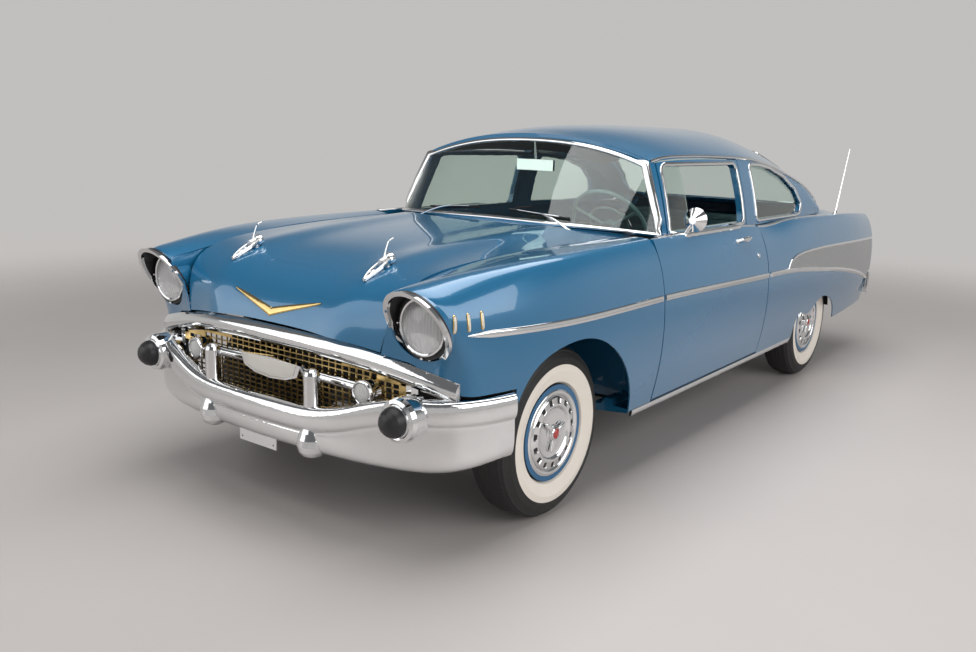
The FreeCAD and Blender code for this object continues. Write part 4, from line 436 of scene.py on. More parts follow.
def both_sides(name, grids, material, body="body_shell"):
    """The left side's grids as a piece there, and mirrored on the right, no wider than the body.

    The braces in the names of piece and body stand for left or right."""
    for side, hand in SIDE_NAMES:
        mirrored = [(np.clip(grid, (-WIDEST, -FAR, -FAR), (WIDEST, FAR, FAR)) * np.array([side, 1.0, 1.0]),
                     rows, columns) for grid, rows, columns in grids]
        fitted(name.format(hand), mirrored, material, body.format(hand))


def side_line(points, count):
    """Line on the car's left side through (y, z) points, with the side's outward directions."""
    places, normals = cast_side(left_side, along(points, count))
    places[:, 0] = smoothed(places[:, 0], 6)
    return places, unit(smoothed(normals, 10))


def stretch(points, low, high):
    """The part of a (y, z) line from y = low to y = high."""
    inside = points[(points[:, 0] > low) & (points[:, 0] < high)]
    ends = [(y, np.interp(y, points[:, 0], points[:, 1])) for y in (low, high)]
    return np.vstack([ends[:1], inside, ends[1:]])


left_side = search_tree("fender_left", "door_left", "quarter_panel_left")
spear_y = np.linspace(SPEAR_FRONT, SPEAR_REAR, 116)
spear_curve = np.column_stack([spear_y, smoothed(np.interp(spear_y, *SPEAR.T), 8)])
for part, low, high, body in (("front", SPEAR_FRONT + 1, DOOR_FRONT - 7, "body_shell"),
                              ("door", DOOR_FRONT + 3, DOOR_REAR - 3, "door_{}_body"),
                              ("rear", DOOR_REAR + 7, SPEAR_REAR - 2, "body_shell")):
    line, outward = side_line(stretch(spear_curve, low, high), 70)
    share = np.clip((line[:, 1] - SPEAR_FRONT + 2) / 110, 0.02, 1.0) ** 0.7
    both_sides("spear_" + part + "_{}",
               [moulding(line, outward, SPEAR_WIDTH * share, SPEAR_HEIGHT * share ** 0.5)], chrome, body)


# Rear side panels
# Behind the door the spear splits, and a sheet of ribbed bright aluminium fills the space between its two
# branches. The upper branch curves up from the door and runs back to the tail.
RIB_PITCH = 0.0075
INSERT_ROWS = 88
INSERT_COLUMNS = 16
INSERT_TOP = np.array([(470, 766), (486, 776), (505, 793), (535, 810), (575, 823), (630, 832), (700, 838),
                       (860, 842), (1124, 840), (1500, 829), (1850, 817), (2155, 806), (2330, 800)], float)


def ribbed_aluminium(place):
    """Satin metal with fine ribs along the car, with painted shade darkening their grooves."""
    rib = (axis_of(place, 2) * (2 * math.pi / RIB_PITCH)).sine() * 0.5 + 0.5
    cloud = noise(place, 6.0, 3.0)
    # The rib wave also darkens the colour in each groove: painted shade.
    return {"Base Color": rib.blend((0.46, 0.47, 0.48), (0.66, 0.67, 0.68)), "Roughness": cloud * 0.1 + 0.3,
            "Normal": rib.bump(0.5, 0.003)}


aluminium = finish("ribbed_aluminium", ribbed_aluminium, Metallic=1.0)
insert_y = np.concatenate([np.linspace(476, 640, 18), np.linspace(660, 2318, 70)])[:, None]
insert_high = np.interp(insert_y, *INSERT_TOP.T)
insert_low = np.interp(insert_y, *spear_curve.T)
share = np.linspace(0, 1, INSERT_COLUMNS)
flat = np.stack([insert_y + 0 * share, insert_low * (1 - share) + insert_high * share], axis=-1)
places, normals = cast_side(left_side, flat.reshape(-1, 2))
front_skin = (places + normals * 2.2).reshape(INSERT_ROWS, INSERT_COLUMNS, 3)
back_skin = (places - normals * 1.5).reshape(INSERT_ROWS, INSERT_COLUMNS, 3)
both_sides("side_insert_{}", [slab(front_skin, back_skin)], aluminium)
branch_line, branch_outward = side_line(INSERT_TOP, 120)
taper = np.clip((branch_line[:, 1] - 455) / 80, 0.25, 1.0)
both_sides("spear_branch_{}", [moulding(branch_line, branch_outward, 17 * taper, 6)], chrome)


# Belt and sill mouldings
# A bright strip follows the foot of the side windows and dips behind the door. Another covers the sill
# between the wheels. Both are folded from thin plated steel.
BELT = np.array([(-990, 822), (-900, 812), (-600, 806), (-180, 803), (318, 803), (376, 802), (466, 801),
                 (724, 799), (1000, 797), (1250, 794), (1400, 792)], float)
ABOVE_BELT = 1105.0
SILL = [(884, -1218, 321), (886, -800, 320), (886, 200, 319), (884, 706, 318)]
top_side = search_tree("fender_left", "door_left", "quarter_panel_left", "tail_panel")


def belt_line(low, high, count):
    """Line on top of the left shoulder from y = low to y = high, with its outward directions."""
    y = np.linspace(low, high, count)
    starts = np.column_stack([np.interp(y, *BELT.T), y, np.full(count, ABOVE_BELT)])
    places, normals = cast(top_side, starts, (0.25, 0, -1))
    return smoothed(places, 8), unit(smoothed(normals, 12))


for part, low, high, body in (("door", DOOR_FRONT + 60, DOOR_REAR - 3, "door_{}_body"),
                              ("rear", DOOR_REAR + 7, 1400.0, "body_shell")):
    both_sides("belt_strip_" + part + "_{}", [moulding(*belt_line(low, high, 60), 24, 7)], chrome, body)
sill_outward = np.tile((0.97, 0.0, -0.24), (40, 1))
both_sides("sill_strip_{}", [moulding(along(SILL, 40), sill_outward, 30, 8)], chrome)


# Window surrounds
# Bright mouldings hold the rubbers of the glass: a deep band round the windshield, frames in the doors and
# quarters, the drip rail over them, and a band round the rear window.
GLASS_BASE = [(0, -1078, 1079), (250, -1072, 1077), (450, -1042, 1071), (600, -994, 1064), (700, -932, 1056),
              (752, -876, 1048), (776, -830, 1042)]
GLASS_HEAD = [(0, -777, 1455.9), (220, -777, 1447.2), (400, -777, 1421.3), (520, -777, 1392.5),
              (590, -777, 1371.2), (626, -777, 1358.8), (644, -777, 1352.2)]
POST_SWELL = 14 * (1 - 776 / 1600)
DOOR_OPENING = [(-734, 1052), (128, 1046), (134, 1100), (134, 1325), (110, 1342), (-646, 1346), (-674, 1332)]
QUARTER_OPENING = [(335, 1046), (950, 1040), (1030, 1052), (1070, 1095), (1020, 1175), (870, 1255),
                   (650, 1310), (470, 1330), (355, 1334), (335, 1320)]
RAIL = [(-768, 1362), (-700, 1380), (-611, 1387), (-305, 1389), (49, 1381), (398, 1368), (749, 1318),
        (1001, 1258), (1200, 1203), (1281, 1170), (1380, 1095), (1408, 1060)]
REAR_OPENING = [(-600, 1060), (600, 1060), (618, 1150), (570, 1300), (470, 1385), (300, 1420), (0, 1430),
                (-300, 1420), (-470, 1385), (-570, 1300), (-618, 1150), (-600, 1060)]
REAR_POINTS = 180
BEHIND = 1900.0


def spline(poles, count):
    """Clamped cubic B-spline: each point blends four poles, with weights built up by degree (Cox-de Boor)."""
    poles = np.asarray(poles, float)
    last = len(poles) - 3
    knots = np.concatenate([[0] * 3, np.arange(last + 1), [last] * 3]).astype(float)[:, None]
    t = np.linspace(0, last, count)
    t[-1] -= 1e-9
    basis = ((knots[:-1] <= t) & (t < knots[1:])).astype(float)
    for degree in (1, 2, 3):
        rise = knots[degree:-1] - knots[:-degree - 1]
        fall = knots[degree + 1:] - knots[1:-degree]
        first = np.where(rise > 0, (t - knots[:-degree - 1]) / np.where(rise > 0, rise, 1), 0) * basis[:-1]
        second = np.where(fall > 0, (knots[degree + 1:] - t) / np.where(fall > 0, fall, 1), 0) * basis[1:]
        basis = first + second
    return basis.T @ poles


def both_halves(half):
    """Poles from the car's right to its left, made from those of the left half."""
    half = np.asarray(half, float)
    return np.concatenate([half[:0:-1] * (-1, 1, 1), half])


def rounded(loop, waves):
    """Closed row of values that keeps only its first so many waves round the loop, by Fourier's series."""
    number = np.arange(len(loop))
    kept = np.minimum(number, len(loop) - number) < waves
    return np.real(np.fft.ifft(np.fft.fft(loop, axis=0) * kept[:, None], axis=0))


base_edge = spline(both_halves(GLASS_BASE), 90)
head_edge = spline(both_halves(GLASS_HEAD), 90)
foot, top = np.array(GLASS_BASE[-1], float), np.array(GLASS_HEAD[-1], float)
rise = np.linspace(0, 1, 5)[:, None]
post_poles = foot + (top - foot) * rise + POST_SWELL * 4 * rise * (1 - rise) * np.array([0, -1, 0.6])
post_edge = spline(post_poles, 34)
loop = np.concatenate([base_edge, post_edge[1:-1], head_edge[::-1], post_edge[-2:0:-1] * (-1, 1, 1)])
inward = loop.mean(axis=0) - loop
outward = np.cross(np.roll(loop, -1, axis=0) - np.roll(loop, 1, axis=0), inward)
outward = rounded(unit(outward * np.where(outward[:, 1] > 0, -1, 1)[:, None]), 20)
low_part = np.clip((1120 - loop[:, 2]) / 70, 0, 1)
post_part = np.clip((np.abs(loop[:, 0]) - 610) / 30, 0, 1) * np.clip((loop[:, 2] - 1070) / 40, 0, 1)
shift = unit(inward) * (4 - 13 * post_part)[:, None]
fitted("windshield_band", [moulding(loop + shift + outward, outward, 19 + 7 * low_part + 20 * post_part,
                                    9 + 3 * low_part, joined=True)], chrome, crease=60)


def opening_frame(outline, names, width, height, outside):
    """Closed moulding on the left side round a (y, z) outline, drawn a little outside it."""
    flat = rounded(along(outline + outline[:1], 151)[:-1], 26)
    run = np.roll(flat, -1, axis=0) - np.roll(flat, 1, axis=0)
    away = unit(np.column_stack([run[:, 1], -run[:, 0]]))
    away *= np.sign(((flat - flat.mean(axis=0)) * away).sum(axis=1)).mean()
    places, normals = cast_side(search_tree(*names), flat + away * outside)
    normals[:] = normals.mean(axis=0)
    return moulding(places, normals, width, height, joined=True)


door_frame = opening_frame(DOOR_OPENING, ["door_left"], 20, 6, 9)
both_sides("door_window_frame_{}", [door_frame], chrome, "door_{}_body")
quarter_frame = opening_frame(QUARTER_OPENING, ["quarter_panel_left", "roof_panel"], 19, 6, 8)
both_sides("quarter_window_frame_{}", [quarter_frame], chrome)
roof_side = search_tree("roof_panel", "quarter_panel_left", "tail_panel")
rail_line, rail_outward = cast_side(roof_side, smoothed(along(RAIL, 110), 20))
both_sides("drip_rail_{}", [moulding(smoothed(rail_line, 10), smoothed(rail_outward, 30), 15, 9)], chrome)

rear_centre = np.array([0.0, 1245.0])
rear_flat = rear_centre + (along(REAR_OPENING, REAR_POINTS + 1)[:-1] - rear_centre) * 1.012
rear_starts = np.column_stack([rear_flat[:, 0], np.full(REAR_POINTS, BEHIND), rear_flat[:, 1]])
rear_line, rear_outward = cast(search_tree("roof_panel", "tail_panel"), rear_starts, (0, -1, 0))
rear_outward = np.column_stack([rear_line[:, 0] * 0.0006, np.tile((0.72, 0.62), (REAR_POINTS, 1))])
rear_low = np.clip((1100 - rear_line[:, 2]) / 40, 0, 1)
rear_line += rear_low[:, None] * np.array([0, -4, 11])
rear_band = moulding(rear_line, rear_outward, 20 - 9 * rear_low, 8 - 4 * rear_low, joined=True)
fitted("rear_window_band", [rear_band], chrome, crease=60)


# Glass
# Safety glass with a faint green tint that shows at its edges. The tail lamps have deep red lenses.
def tinted_pane(place):
    """Clear pane, slightly greener in patches."""
    return {"Base Color": noise(place, 2.0).blend((0.80, 0.90, 0.86), (0.83, 0.92, 0.88))}


def red_glass(place):
    """Deep red lens."""
    return {"Base Color": noise(place, 80.0).blend((0.45, 0.01, 0.01), (0.60, 0.02, 0.02))}


coat(finish("window_glass", tinted_pane, Transmission_Weight=1.0, Roughness=0.0, IOR=1.45),
     ["fixed_glass", "door_glass_left", "door_glass_right"])
coat(finish("tail_lens", red_glass, Roughness=0.08, Coat_Weight=1.0), ["tail_lamps"])


# Grille
# Pressed gold mesh stands behind a plated floating bar with a plain shield in its middle and two round lamps.
# The mesh and the bar are one CAD node, and the bar's plating starts in front of the mesh.
MESH_FRONT = -2.3655
SHIELD = [(-152, 634), (0, 633), (152, 634), (134, 588), (80, 570), (0, 563), (-80, 570), (-134, 588)]
SHIELD_REAR = -2427.0
PARKING_LAMP = (475, -2414, 590)


def gold_wire(place):
    """Gold anodised mesh, uneven in tone, with bright plate on what stands in front of it."""
    tone = noise(place, 60.0, 3.0)
    plate = plating(place)
    front = 1.0 - axis_of(place, 1).between(MESH_FRONT - 0.001, MESH_FRONT + 0.001)
    mesh = tone.blend((0.50, 0.34, 0.12), (0.72, 0.53, 0.24))
    return {"Base Color": front.blend(mesh, plate["Base Color"]),
            "Roughness": (tone * 0.15 + 0.22) * (1.0 - front) + plate["Roughness"] * front}


def pale_enamel(place):
    """Off-white fired enamel."""
    tone = noise(place, 25.0, 3.0)
    return {"Base Color": tone.blend((0.66, 0.64, 0.58), (0.72, 0.70, 0.65)), "Roughness": tone * 0.1 + 0.2}


def lamp_pane(place):
    """Pressed clear glass whose prisms scatter the light."""
    prism = (axis_of(place, 0) * 700.0).sine() * (axis_of(place, 2) * 700.0).sine()
    return {"Base Color": noise(place, 30.0).blend((0.80, 0.80, 0.78), (0.90, 0.90, 0.88)),
            "Normal": prism.bump(0.5, 0.002)}


def turned(profile, centre, axis, count=48):
    """Profile of (radius, distance along the axis) spun round the axis through the centre."""
    profile = np.asarray(profile, float)
    axis = unit(np.asarray(axis, float))
    first = np.cross(axis, np.cross((0.0, 0.0, 1.0), axis))
    if np.linalg.norm(first) < 1e-6:
        first = np.cross(axis, (1.0, 0.0, 0.0))
    first = unit(first)
    angle = np.linspace(0, 2 * math.pi, count, endpoint=False)
    spoke = np.cos(angle)[:, None] * first + np.sin(angle)[:, None] * np.cross(axis, first)
    grid = np.asarray(centre, float) + profile[:, None, :1] * spoke[None] + profile[:, None, 1:] * axis
    return grid, False, True


coat(finish("gold_anodised", gold_wire, Metallic=1.0), ["grille"])
cream = finish("pale_enamel", pale_enamel, Coat_Weight=0.6)
prism_glass = finish("prism_glass", lamp_pane, Transmission_Weight=0.45, Roughness=0.12, IOR=1.45)
shield_flat = along(SHIELD + SHIELD[:1], 97)[:-1]
shield_middle = shield_flat.mean(axis=0)
rings = np.array([1.0, 0.985, 0.95, 0.6, 0.3, 0.0])[:, None, None]
depth = SHIELD_REAR - np.array([0, 3, 4, 4.5, 5, 5])[:, None]
face = shield_middle + (shield_flat[None] - shield_middle) * rings
face = np.stack([face[..., 0], depth + 0 * face[..., 0], face[..., 1]], axis=-1)
rear = face[0] + np.array([0, 1, 0])
rear_middle = np.broadcast_to(rear.mean(axis=0), rear.shape)
fitted("grille_shield", [(np.concatenate([rear_middle[None], rear[None], face]), False, True)], cream)
both_sides("parking_lens_{}", [turned([(0, -4), (34, -2), (36, 3), (34, 7), (20, 12), (0, 14)], PARKING_LAMP,
                                      (0, -1, 0))], prism_glass)
both_sides("parking_rim_{}", [turned([(36, -6), (47, -6), (47, 2), (44, 8), (39, 9), (36, 5), (36, -6)],
                                     PARKING_LAMP, (0, -1, 0))], chrome)


# Headlamps
# Each lamp is a sealed beam with a fluted lens in a bright ring, set in a black well behind the plated hood.
# Three small bright posts hold the ring.
LAMP = np.array([706.0, -2367.0, 852.0])
POST_RADIUS = 108.0


def fluted_lens(place):
    """Clear lens with upright flutes."""
    flute = (axis_of(place, 0) * 520.0).sine() + (axis_of(place, 2) * 160.0).sine() * 0.4
    return {"Base Color": noise(place, 20.0).blend((0.84, 0.85, 0.86), (0.92, 0.93, 0.94)),
            "Normal": flute.bump(0.35, 0.002)}


def dull_black(place):
    """Matt black paint."""
    tone = noise(place, 60.0, 3.0)
    return {"Base Color": tone.blend((0.006, 0.006, 0.006), (0.012, 0.012, 0.012)),
            "Roughness": tone * 0.1 + 0.5}


def pebble(centre, along_way, across_way, sizes, power=1.0):
    """Ellipsoid with these half sizes along, across and out, stretched from a sphere's grid."""
    first = unit(np.asarray(along_way, float))
    third = unit(np.cross(first, across_way))
    second = np.cross(third, first)
    lat = np.linspace(-math.pi / 2, math.pi / 2, 14)[:, None]
    lon = np.linspace(0, 2 * math.pi, 20, endpoint=False)[None]
    a = np.sin(lat) * np.ones_like(lon)
    b = np.cos(lat) * np.cos(lon)
    c = np.cos(lat) * np.sin(lon)
    b = np.sign(b) * np.abs(b) ** power
    c = np.sign(c) * np.abs(c) ** power
    grid = (np.asarray(centre, float) + a[..., None] * first * sizes[0] + b[..., None] * second * sizes[1]
            + c[..., None] * third * sizes[2])
    return grid, False, True


lens_glass = finish("fluted_lens", fluted_lens, Transmission_Weight=0.5, Roughness=0.08, IOR=1.45,
                    Coat_Weight=1.0)
black = finish("dull_black", dull_black)
for name, profile, material in (
        ("lamp_lens_{}", [(0, -4), (88, -6), (91, 0), (86, 5), (66, 12), (34, 18), (0, 20)], lens_glass),
        ("lamp_ring_{}", [(89, -14), (101, -14), (103, -2), (100, 6), (95, 8), (90, 5), (89, -14)], chrome),
        ("lamp_well_{}", [(100, -20), (113.6, -20), (113.6, -3), (100, -6), (100, -20)], black)):
    both_sides(name, [turned(profile, LAMP, (0, -1, 0), 64)], material)
post_places = [LAMP + (x * POST_RADIUS, -3, z * POST_RADIUS) for x, z in ((1, 0), (-1, 0), (0, -1))]
both_sides("lamp_posts_{}", [pebble(spot, (0, 1, 0), (1, 0, 0), (7, 5, 5)) for spot in post_places], chrome)


# Lamp hood cheeks
# A painted steel cheek closes the inner side of each lamp hood. It runs from the fender's top edge down
# behind the hood panel, and is welded along the top.
CHEEK_FOOT = 893.0
CHEEK_WALL = 2.5
cheek_y = np.linspace(-2430, -2225, 24)
cheek_top = np.column_stack([np.interp(cheek_y, (-2430, -2290, -2225), (599, 602, 605)), cheek_y,
                             np.interp(cheek_y, (-2430, -2300, -2225), (952, 973, 984))])
cheek_foot = np.column_stack([np.interp(cheek_y, (-2430, -2290, -2225), (595, 599, 603)), cheek_y,
                              np.full(24, CHEEK_FOOT)])
share = np.linspace(0, 1, 9)[:, None, None]
cheek = cheek_top + (cheek_foot - cheek_top) * share
cheek[..., 0] -= CHEEK_WALL * np.sin(math.pi * share[..., 0])
both_sides("lamp_cheek_{}", [slab(cheek, cheek + (CHEEK_WALL, 0, 0))], enamel)


# Front gills, hood emblem bars and sights
# Three gilt capsules filled with cream stand behind each lamp. A bare gold chevron lies on the hood's nose,
# and two bright castings shaped like gun sights stand on the hood.
GILL_PLACES = (-2356, -2299, -2239)
GILL_MIDDLE = 876.0
CHEVRON_HALF = 240.0
CHEVRON_POINT = 811.0
CHEVRON_RISE = 57.0
SIGHT_SIDE = 369.0
SIGHT_REAR = -2172.0


def gilding(place):
    """Bright gold plate."""
    tone = noise(place, 50.0, 3.0)
    return {"Base Color": tone.blend((0.62, 0.43, 0.16), (0.80, 0.60, 0.28)), "Roughness": tone * 0.08 + 0.14}


gilt = finish("gilding", gilding, Metallic=1.0)
fender_side = search_tree("fender_left")
gill_z = np.linspace(GILL_MIDDLE - 31, GILL_MIDDLE + 31, 24)
share = np.sqrt(np.clip(1 - np.linspace(-1, 1, 24) ** 6, 0.02, 1))
for number, y in enumerate(GILL_PLACES):
    line, outward = cast_side(fender_side, np.column_stack([y + (gill_z - GILL_MIDDLE) * 0.06, gill_z]))
    outward = smoothed(outward, 8)
    tag = "_{}_" + str(number + 1)
    both_sides("gill" + tag, [moulding(line, outward, 16 * share, 5 * share)], gilt)
    line, outward, inner = line[2:-2], outward[2:-2], share[2:-2]
    both_sides("gill_fill" + tag, [moulding(line + outward * 1.2, outward, 10 * inner, 5.2 * inner)], cream)

hood_skin = search_tree("hood")
arm = np.abs(np.linspace(-1, 1, 81))
v_starts = np.column_stack([np.linspace(-1, 1, 81) * CHEVRON_HALF, np.full(81, -2700.0),
                            CHEVRON_POINT + CHEVRON_RISE * arm ** 0.9])
v_line, v_outward = cast(hood_skin, v_starts, (0, 1, 0))
v_width = 29 * (1 - arm) ** 0.6 + 3
fitted("hood_chevron", [moulding(v_line, smoothed(v_outward, 6), v_width, 6)], gilt, "hood_body")

sight_y = np.linspace(-2296, -2168, 40)
sight_starts = np.column_stack([np.full(40, SIGHT_SIDE), sight_y, np.full(40, 1500.0)])
base, up = cast(hood_skin, sight_starts, (0, 0, -1))
turn = np.linspace(0, 2 * math.pi, 61)[:-1]
reach = (1 - np.cos(turn)) / 2
loop_y = -2300 + 118 * reach
loop = np.column_stack([SIGHT_SIDE + 20 * np.sin(turn) * reach ** 0.35, loop_y,
                        np.interp(loop_y, base[:, 1], base[:, 2]) + 6 + 12 * reach])
parts = [moulding(loop, np.tile((0.0, -0.3, 0.95), (60, 1)), 9, 8, joined=True)]
rear_z = np.interp(SIGHT_REAR, base[:, 1], base[:, 2]) + 22
ribs = [(0, -44)]
for k in range(7):
    ribs.extend([(15.5, -44 + k * 4.6), (17.5, -42 + k * 4.6), (15.5, -40.5 + k * 4.6)])
ribs.extend([(19, -10), (21, -6), (21, 12), (18, 16), (0, 17)])
parts.append(turned(ribs, (SIGHT_SIDE, SIGHT_REAR, rear_z), (0, 0.94, 0.34), 32))
fin_line = [(SIGHT_SIDE, y, rear_z + rise) for y, rise in ((-2196, 8), (-2184, 40), (-2172, 66), (-2150, 72))]
parts.append(moulding(along(fin_line, 24), np.tile((0.0, 1.0, 0.4), (24, 1)), 6, 4))
for y in (-2250, -2180):
    foot_place = (SIGHT_SIDE, y, np.interp(y, base[:, 1], base[:, 2]) + 4)
    parts.append(pebble(foot_place, (0, 1, 0), (1, 0, 0), (16, 9, 12)))
both_sides("hood_sight_{}", parts, chrome, "hood_body")


# Tyres
# Bias-ply tyres of black rubber with a wide cream sidewall band. The tread has ribs round it and short cuts
# at its shoulders.
WHEEL_CENTRES = {"front_left": (0.7365, -1.715), "front_right": (-0.7365, -1.715),
                 "rear_left": (0.747, 1.206), "rear_right": (-0.747, 1.206)}
AXLE_HEIGHT = 0.343
BAND_INSIDE = 0.195
BAND_OUTSIDE = 0.274


def wheel_terms(place, centre):
    """Radius round the axle, angle round it, and distance outward from the wheel's middle plane."""
    along_car = axis_of(place, 1) - centre[1]
    upward = axis_of(place, 2) - AXLE_HEIGHT
    radius = (along_car * along_car + upward * upward).maths("SQRT")
    outward = axis_of(place, 0) * math.copysign(1.0, centre[0]) - abs(centre[0])
    return radius, upward.maths("ARCTAN2", upward, along_car), outward


def edge(radius, limit, blur=0.0005):
    """Mask that goes from 0 to 1 as the radius passes this limit."""
    return radius.between(limit - blur, limit + blur)


def tyre_look(centre):
    """Builder of the tyre's rubber: black, with the cream band on the outer side and a cut tread."""
    def look(place):
        radius, angle, outward = wheel_terms(place, centre)
        band = (edge(radius, BAND_INSIDE) - edge(radius, BAND_OUTSIDE)) * outward.between(0.05, 0.052)
        dust = noise(place, 40.0, 5.0)
        rubber = dust.blend((0.012, 0.012, 0.012), (0.024, 0.023, 0.022))
        cream_rubber = noise(place, 12.0).blend((0.80, 0.73, 0.65), (0.86, 0.80, 0.72))
        cuts = (angle * 96.0).sine().between(-0.2, 0.1) * (outward * outward).between(0.0030, 0.0038)
        ribs = (outward * 260.0).sine().between(-0.35, 0.1)
        tread = (cuts + ribs) * radius.between(0.322, 0.330)
        rings = (radius * 900.0).sine() * (radius.between(0.276, 0.28) - radius.between(0.30, 0.305)) * 0.3
        return {"Base Color": band.blend(rubber, cream_rubber), "Roughness": dust * 0.2 + 0.5,
                "Normal": (tread + rings).bump(0.9, 0.004)}
    return look


# Wheels
# Pressed steel wheels are enamelled blue at the rim. Each has a plated cover with fifteen slots round a dish
# and a spinner of three bars with a bare red boss, pushed onto the disc.
SLOTS = 15
SLOT_RADII = (0.1185, 0.1395)
GROOVE_RADII = (0.148, 0.151)
RIM_BLUE_RADIUS = 0.172
COVER_PROFILE = [(174, 70), (174, 76), (170, 81), (163, 83), (156, 81), (151, 76), (148, 75), (144, 79),
                 (140, 82), (116, 86), (110, 86), (104, 82), (98, 76), (80, 74), (60, 74), (44, 75), (34, 76),
                 (31, 80), (30, 86), (26, 89), (22, 90), (0, 90)]
SPINNER_BARS = (20, 140, 260)


def rim_look(centre):
    """Builder of the wheel's finish: plate, with body blue on the rim's flange."""
    def look(place):
        radius, _, outward = wheel_terms(place, centre)
        blue = edge(radius, RIM_BLUE_RADIUS) * outward.between(0.0, 0.01)
        plate = plating(place)
        return {"Base Color": blue.blend(plate["Base Color"], (0.030, 0.135, 0.280)),
                "Metallic": 1.0 - blue * 0.8, "Roughness": plate["Roughness"] + blue * 0.15}
    return look


def cover_look(centre):
    """Builder of the cover's finish: plate, with painted shade in the cut slots round the dish and in the
    groove outside them.
    """
    def look(place):
        radius, angle, _ = wheel_terms(place, centre)
        ring = edge(radius, SLOT_RADII[0], 0.001) - edge(radius, SLOT_RADII[1], 0.001)
        slot = (angle * SLOTS).sine().between(0.30, 0.45) * ring
        # Painted shade: the slots and the groove are turned near black to stand for the shade in their
        # hollows.
        painted_shade = slot + (edge(radius, GROOVE_RADII[0]) - edge(radius, GROOVE_RADII[1])) * 0.8
        return plated_and_black(place, painted_shade, (0.012, 0.012, 0.012), 0.4)
    return look


def red_enamel(place):
    """Translucent red enamel."""
    return {"Base Color": noise(place, 60.0).blend((0.36, 0.010, 0.012), (0.46, 0.018, 0.018))}


red_boss = finish("red_enamel", red_enamel, Roughness=0.12, Coat_Weight=1.0)
for name, centre in WHEEL_CENTRES.items():
    out = np.array([math.copysign(1.0, centre[0]), 0, 0])
    middle = np.array([*centre, AXLE_HEIGHT]) / MM
    body = name + "_wheel"
    coat(finish("tyre_" + name, tyre_look(centre)), ["tyre_" + name])
    coat(finish("rim_" + name, rim_look(centre)), ["wheel_" + name])
    shell, round_rows, round_columns = turned(along(COVER_PROFILE, 90), middle, out, 180)
    offset = shell - middle
    around = np.arctan2(offset[..., 2], offset[..., 1])
    distance = np.hypot(offset[..., 1], offset[..., 2])
    cut = (np.clip((np.sin(SLOTS * around) - 0.3) * 5, 0, 1)
           * np.clip((distance - 117.5) / 3, 0, 1) * np.clip((140.5 - distance) / 3, 0, 1))
    shell -= 5.0 * cut[..., None] * out
    cover = finish("cover_" + name, cover_look(centre))
    fitted("wheel_cover_" + name, [(shell, round_rows, round_columns)], cover, body)
    rays = [np.array([0, math.cos(turn), math.sin(turn)]) for turn in np.radians(SPINNER_BARS)]
    bars = [pebble(middle + ray * 44 + out * 84, ray, (0, -ray[2], ray[1]), (34, 11, 9), 0.7) for ray in rays]
    fitted("spinner_" + name, bars, chrome, body)
    boss = [(0, 84), (21, 86), (21, 92), (16, 97), (8, 99), (0, 100)]
    fitted("spinner_boss_" + name, [turned(boss, middle, out)], red_boss, body)
    ring = [(20, 86), (28, 86), (28, 91), (24, 95), (21, 94), (20, 86)]
    fitted("spinner_ring_" + name, [turned(ring, middle, out)], chrome, body)


# Chassis
# Frame, suspension, exhaust and floor are painted satin black over rough steel. They hardly show.
def chassis_paint(place):
    """Satin black over rough steel."""
    grit = noise(place, 120.0, 4.0)
    return {"Base Color": grit.blend((0.012, 0.012, 0.012), (0.028, 0.027, 0.026)),
            "Roughness": grit * 0.2 + 0.45, "Normal": grit.bump(0.2, 0.001)}


coat(finish("chassis_paint", chassis_paint),
     ["floor_pan", "frame", "inner_fenders", "radiator", "front_suspension", "knuckle_left", "knuckle_right",
      "tie_rods", "rear_axle", "engine", "exhaust", "fuel_tank", "steering_column", "dashboard"])


# Seats and cabin lining
# Bench seats are covered in a dark teal cloth with sewn pleats over foam, which swells between its edges. The
# roof is lined in dark napped cloth.
PAD_GROWTH = 0.022
PAD_VOXEL = 0.012
SQUARENESS = 0.22
BACK_LEAN = math.atan2(130, 380)


def seat_cloth(place):
    """Dark teal cloth with pleats along the car."""
    weave = noise(place, 300.0, 4.0)
    wave = (axis_of(place, 0) * 90.0).sine().maths("ABSOLUTE")
    pleat = wave.maths("POWER", wave, 0.35)
    return {"Base Color": weave.blend((0.012, 0.048, 0.058), (0.024, 0.072, 0.085)),
            "Roughness": weave * 0.1 + 0.75, "Normal": (pleat + weave * 0.15).bump(0.6, 0.004)}


def squared(value):
    """Sine or cosine raised to a low power, with its sign, so that a sphere turns into a rounded block."""
    return np.sign(value) * np.abs(value) ** SQUARENESS


def soft_block(centre, half_sizes, lean):
    """Block with rounded edges: a sphere's grid with squared sines and cosines, leaned back."""
    lat = np.linspace(-math.pi / 2, math.pi / 2, 40)[:, None]
    lon = np.linspace(0, 2 * math.pi, 96, endpoint=False)[None]
    across, thick, tall = half_sizes
    x = squared(np.sin(lat)) * np.ones_like(lon) * across
    y = squared(np.cos(lat)) * squared(np.cos(lon)) * thick
    z = squared(np.cos(lat)) * squared(np.sin(lon)) * tall
    back = y * math.cos(lean) + z * math.sin(lean)
    up = z * math.cos(lean) - y * math.sin(lean)
    return np.stack([x, back, up], axis=-1) + np.asarray(centre, float), False, True


def baked(item):
    """Mesh of the piece as its modifiers leave it."""
    graph = bpy.context.evaluated_depsgraph_get()
    return bpy.data.meshes.new_from_object(item.evaluated_get(graph))


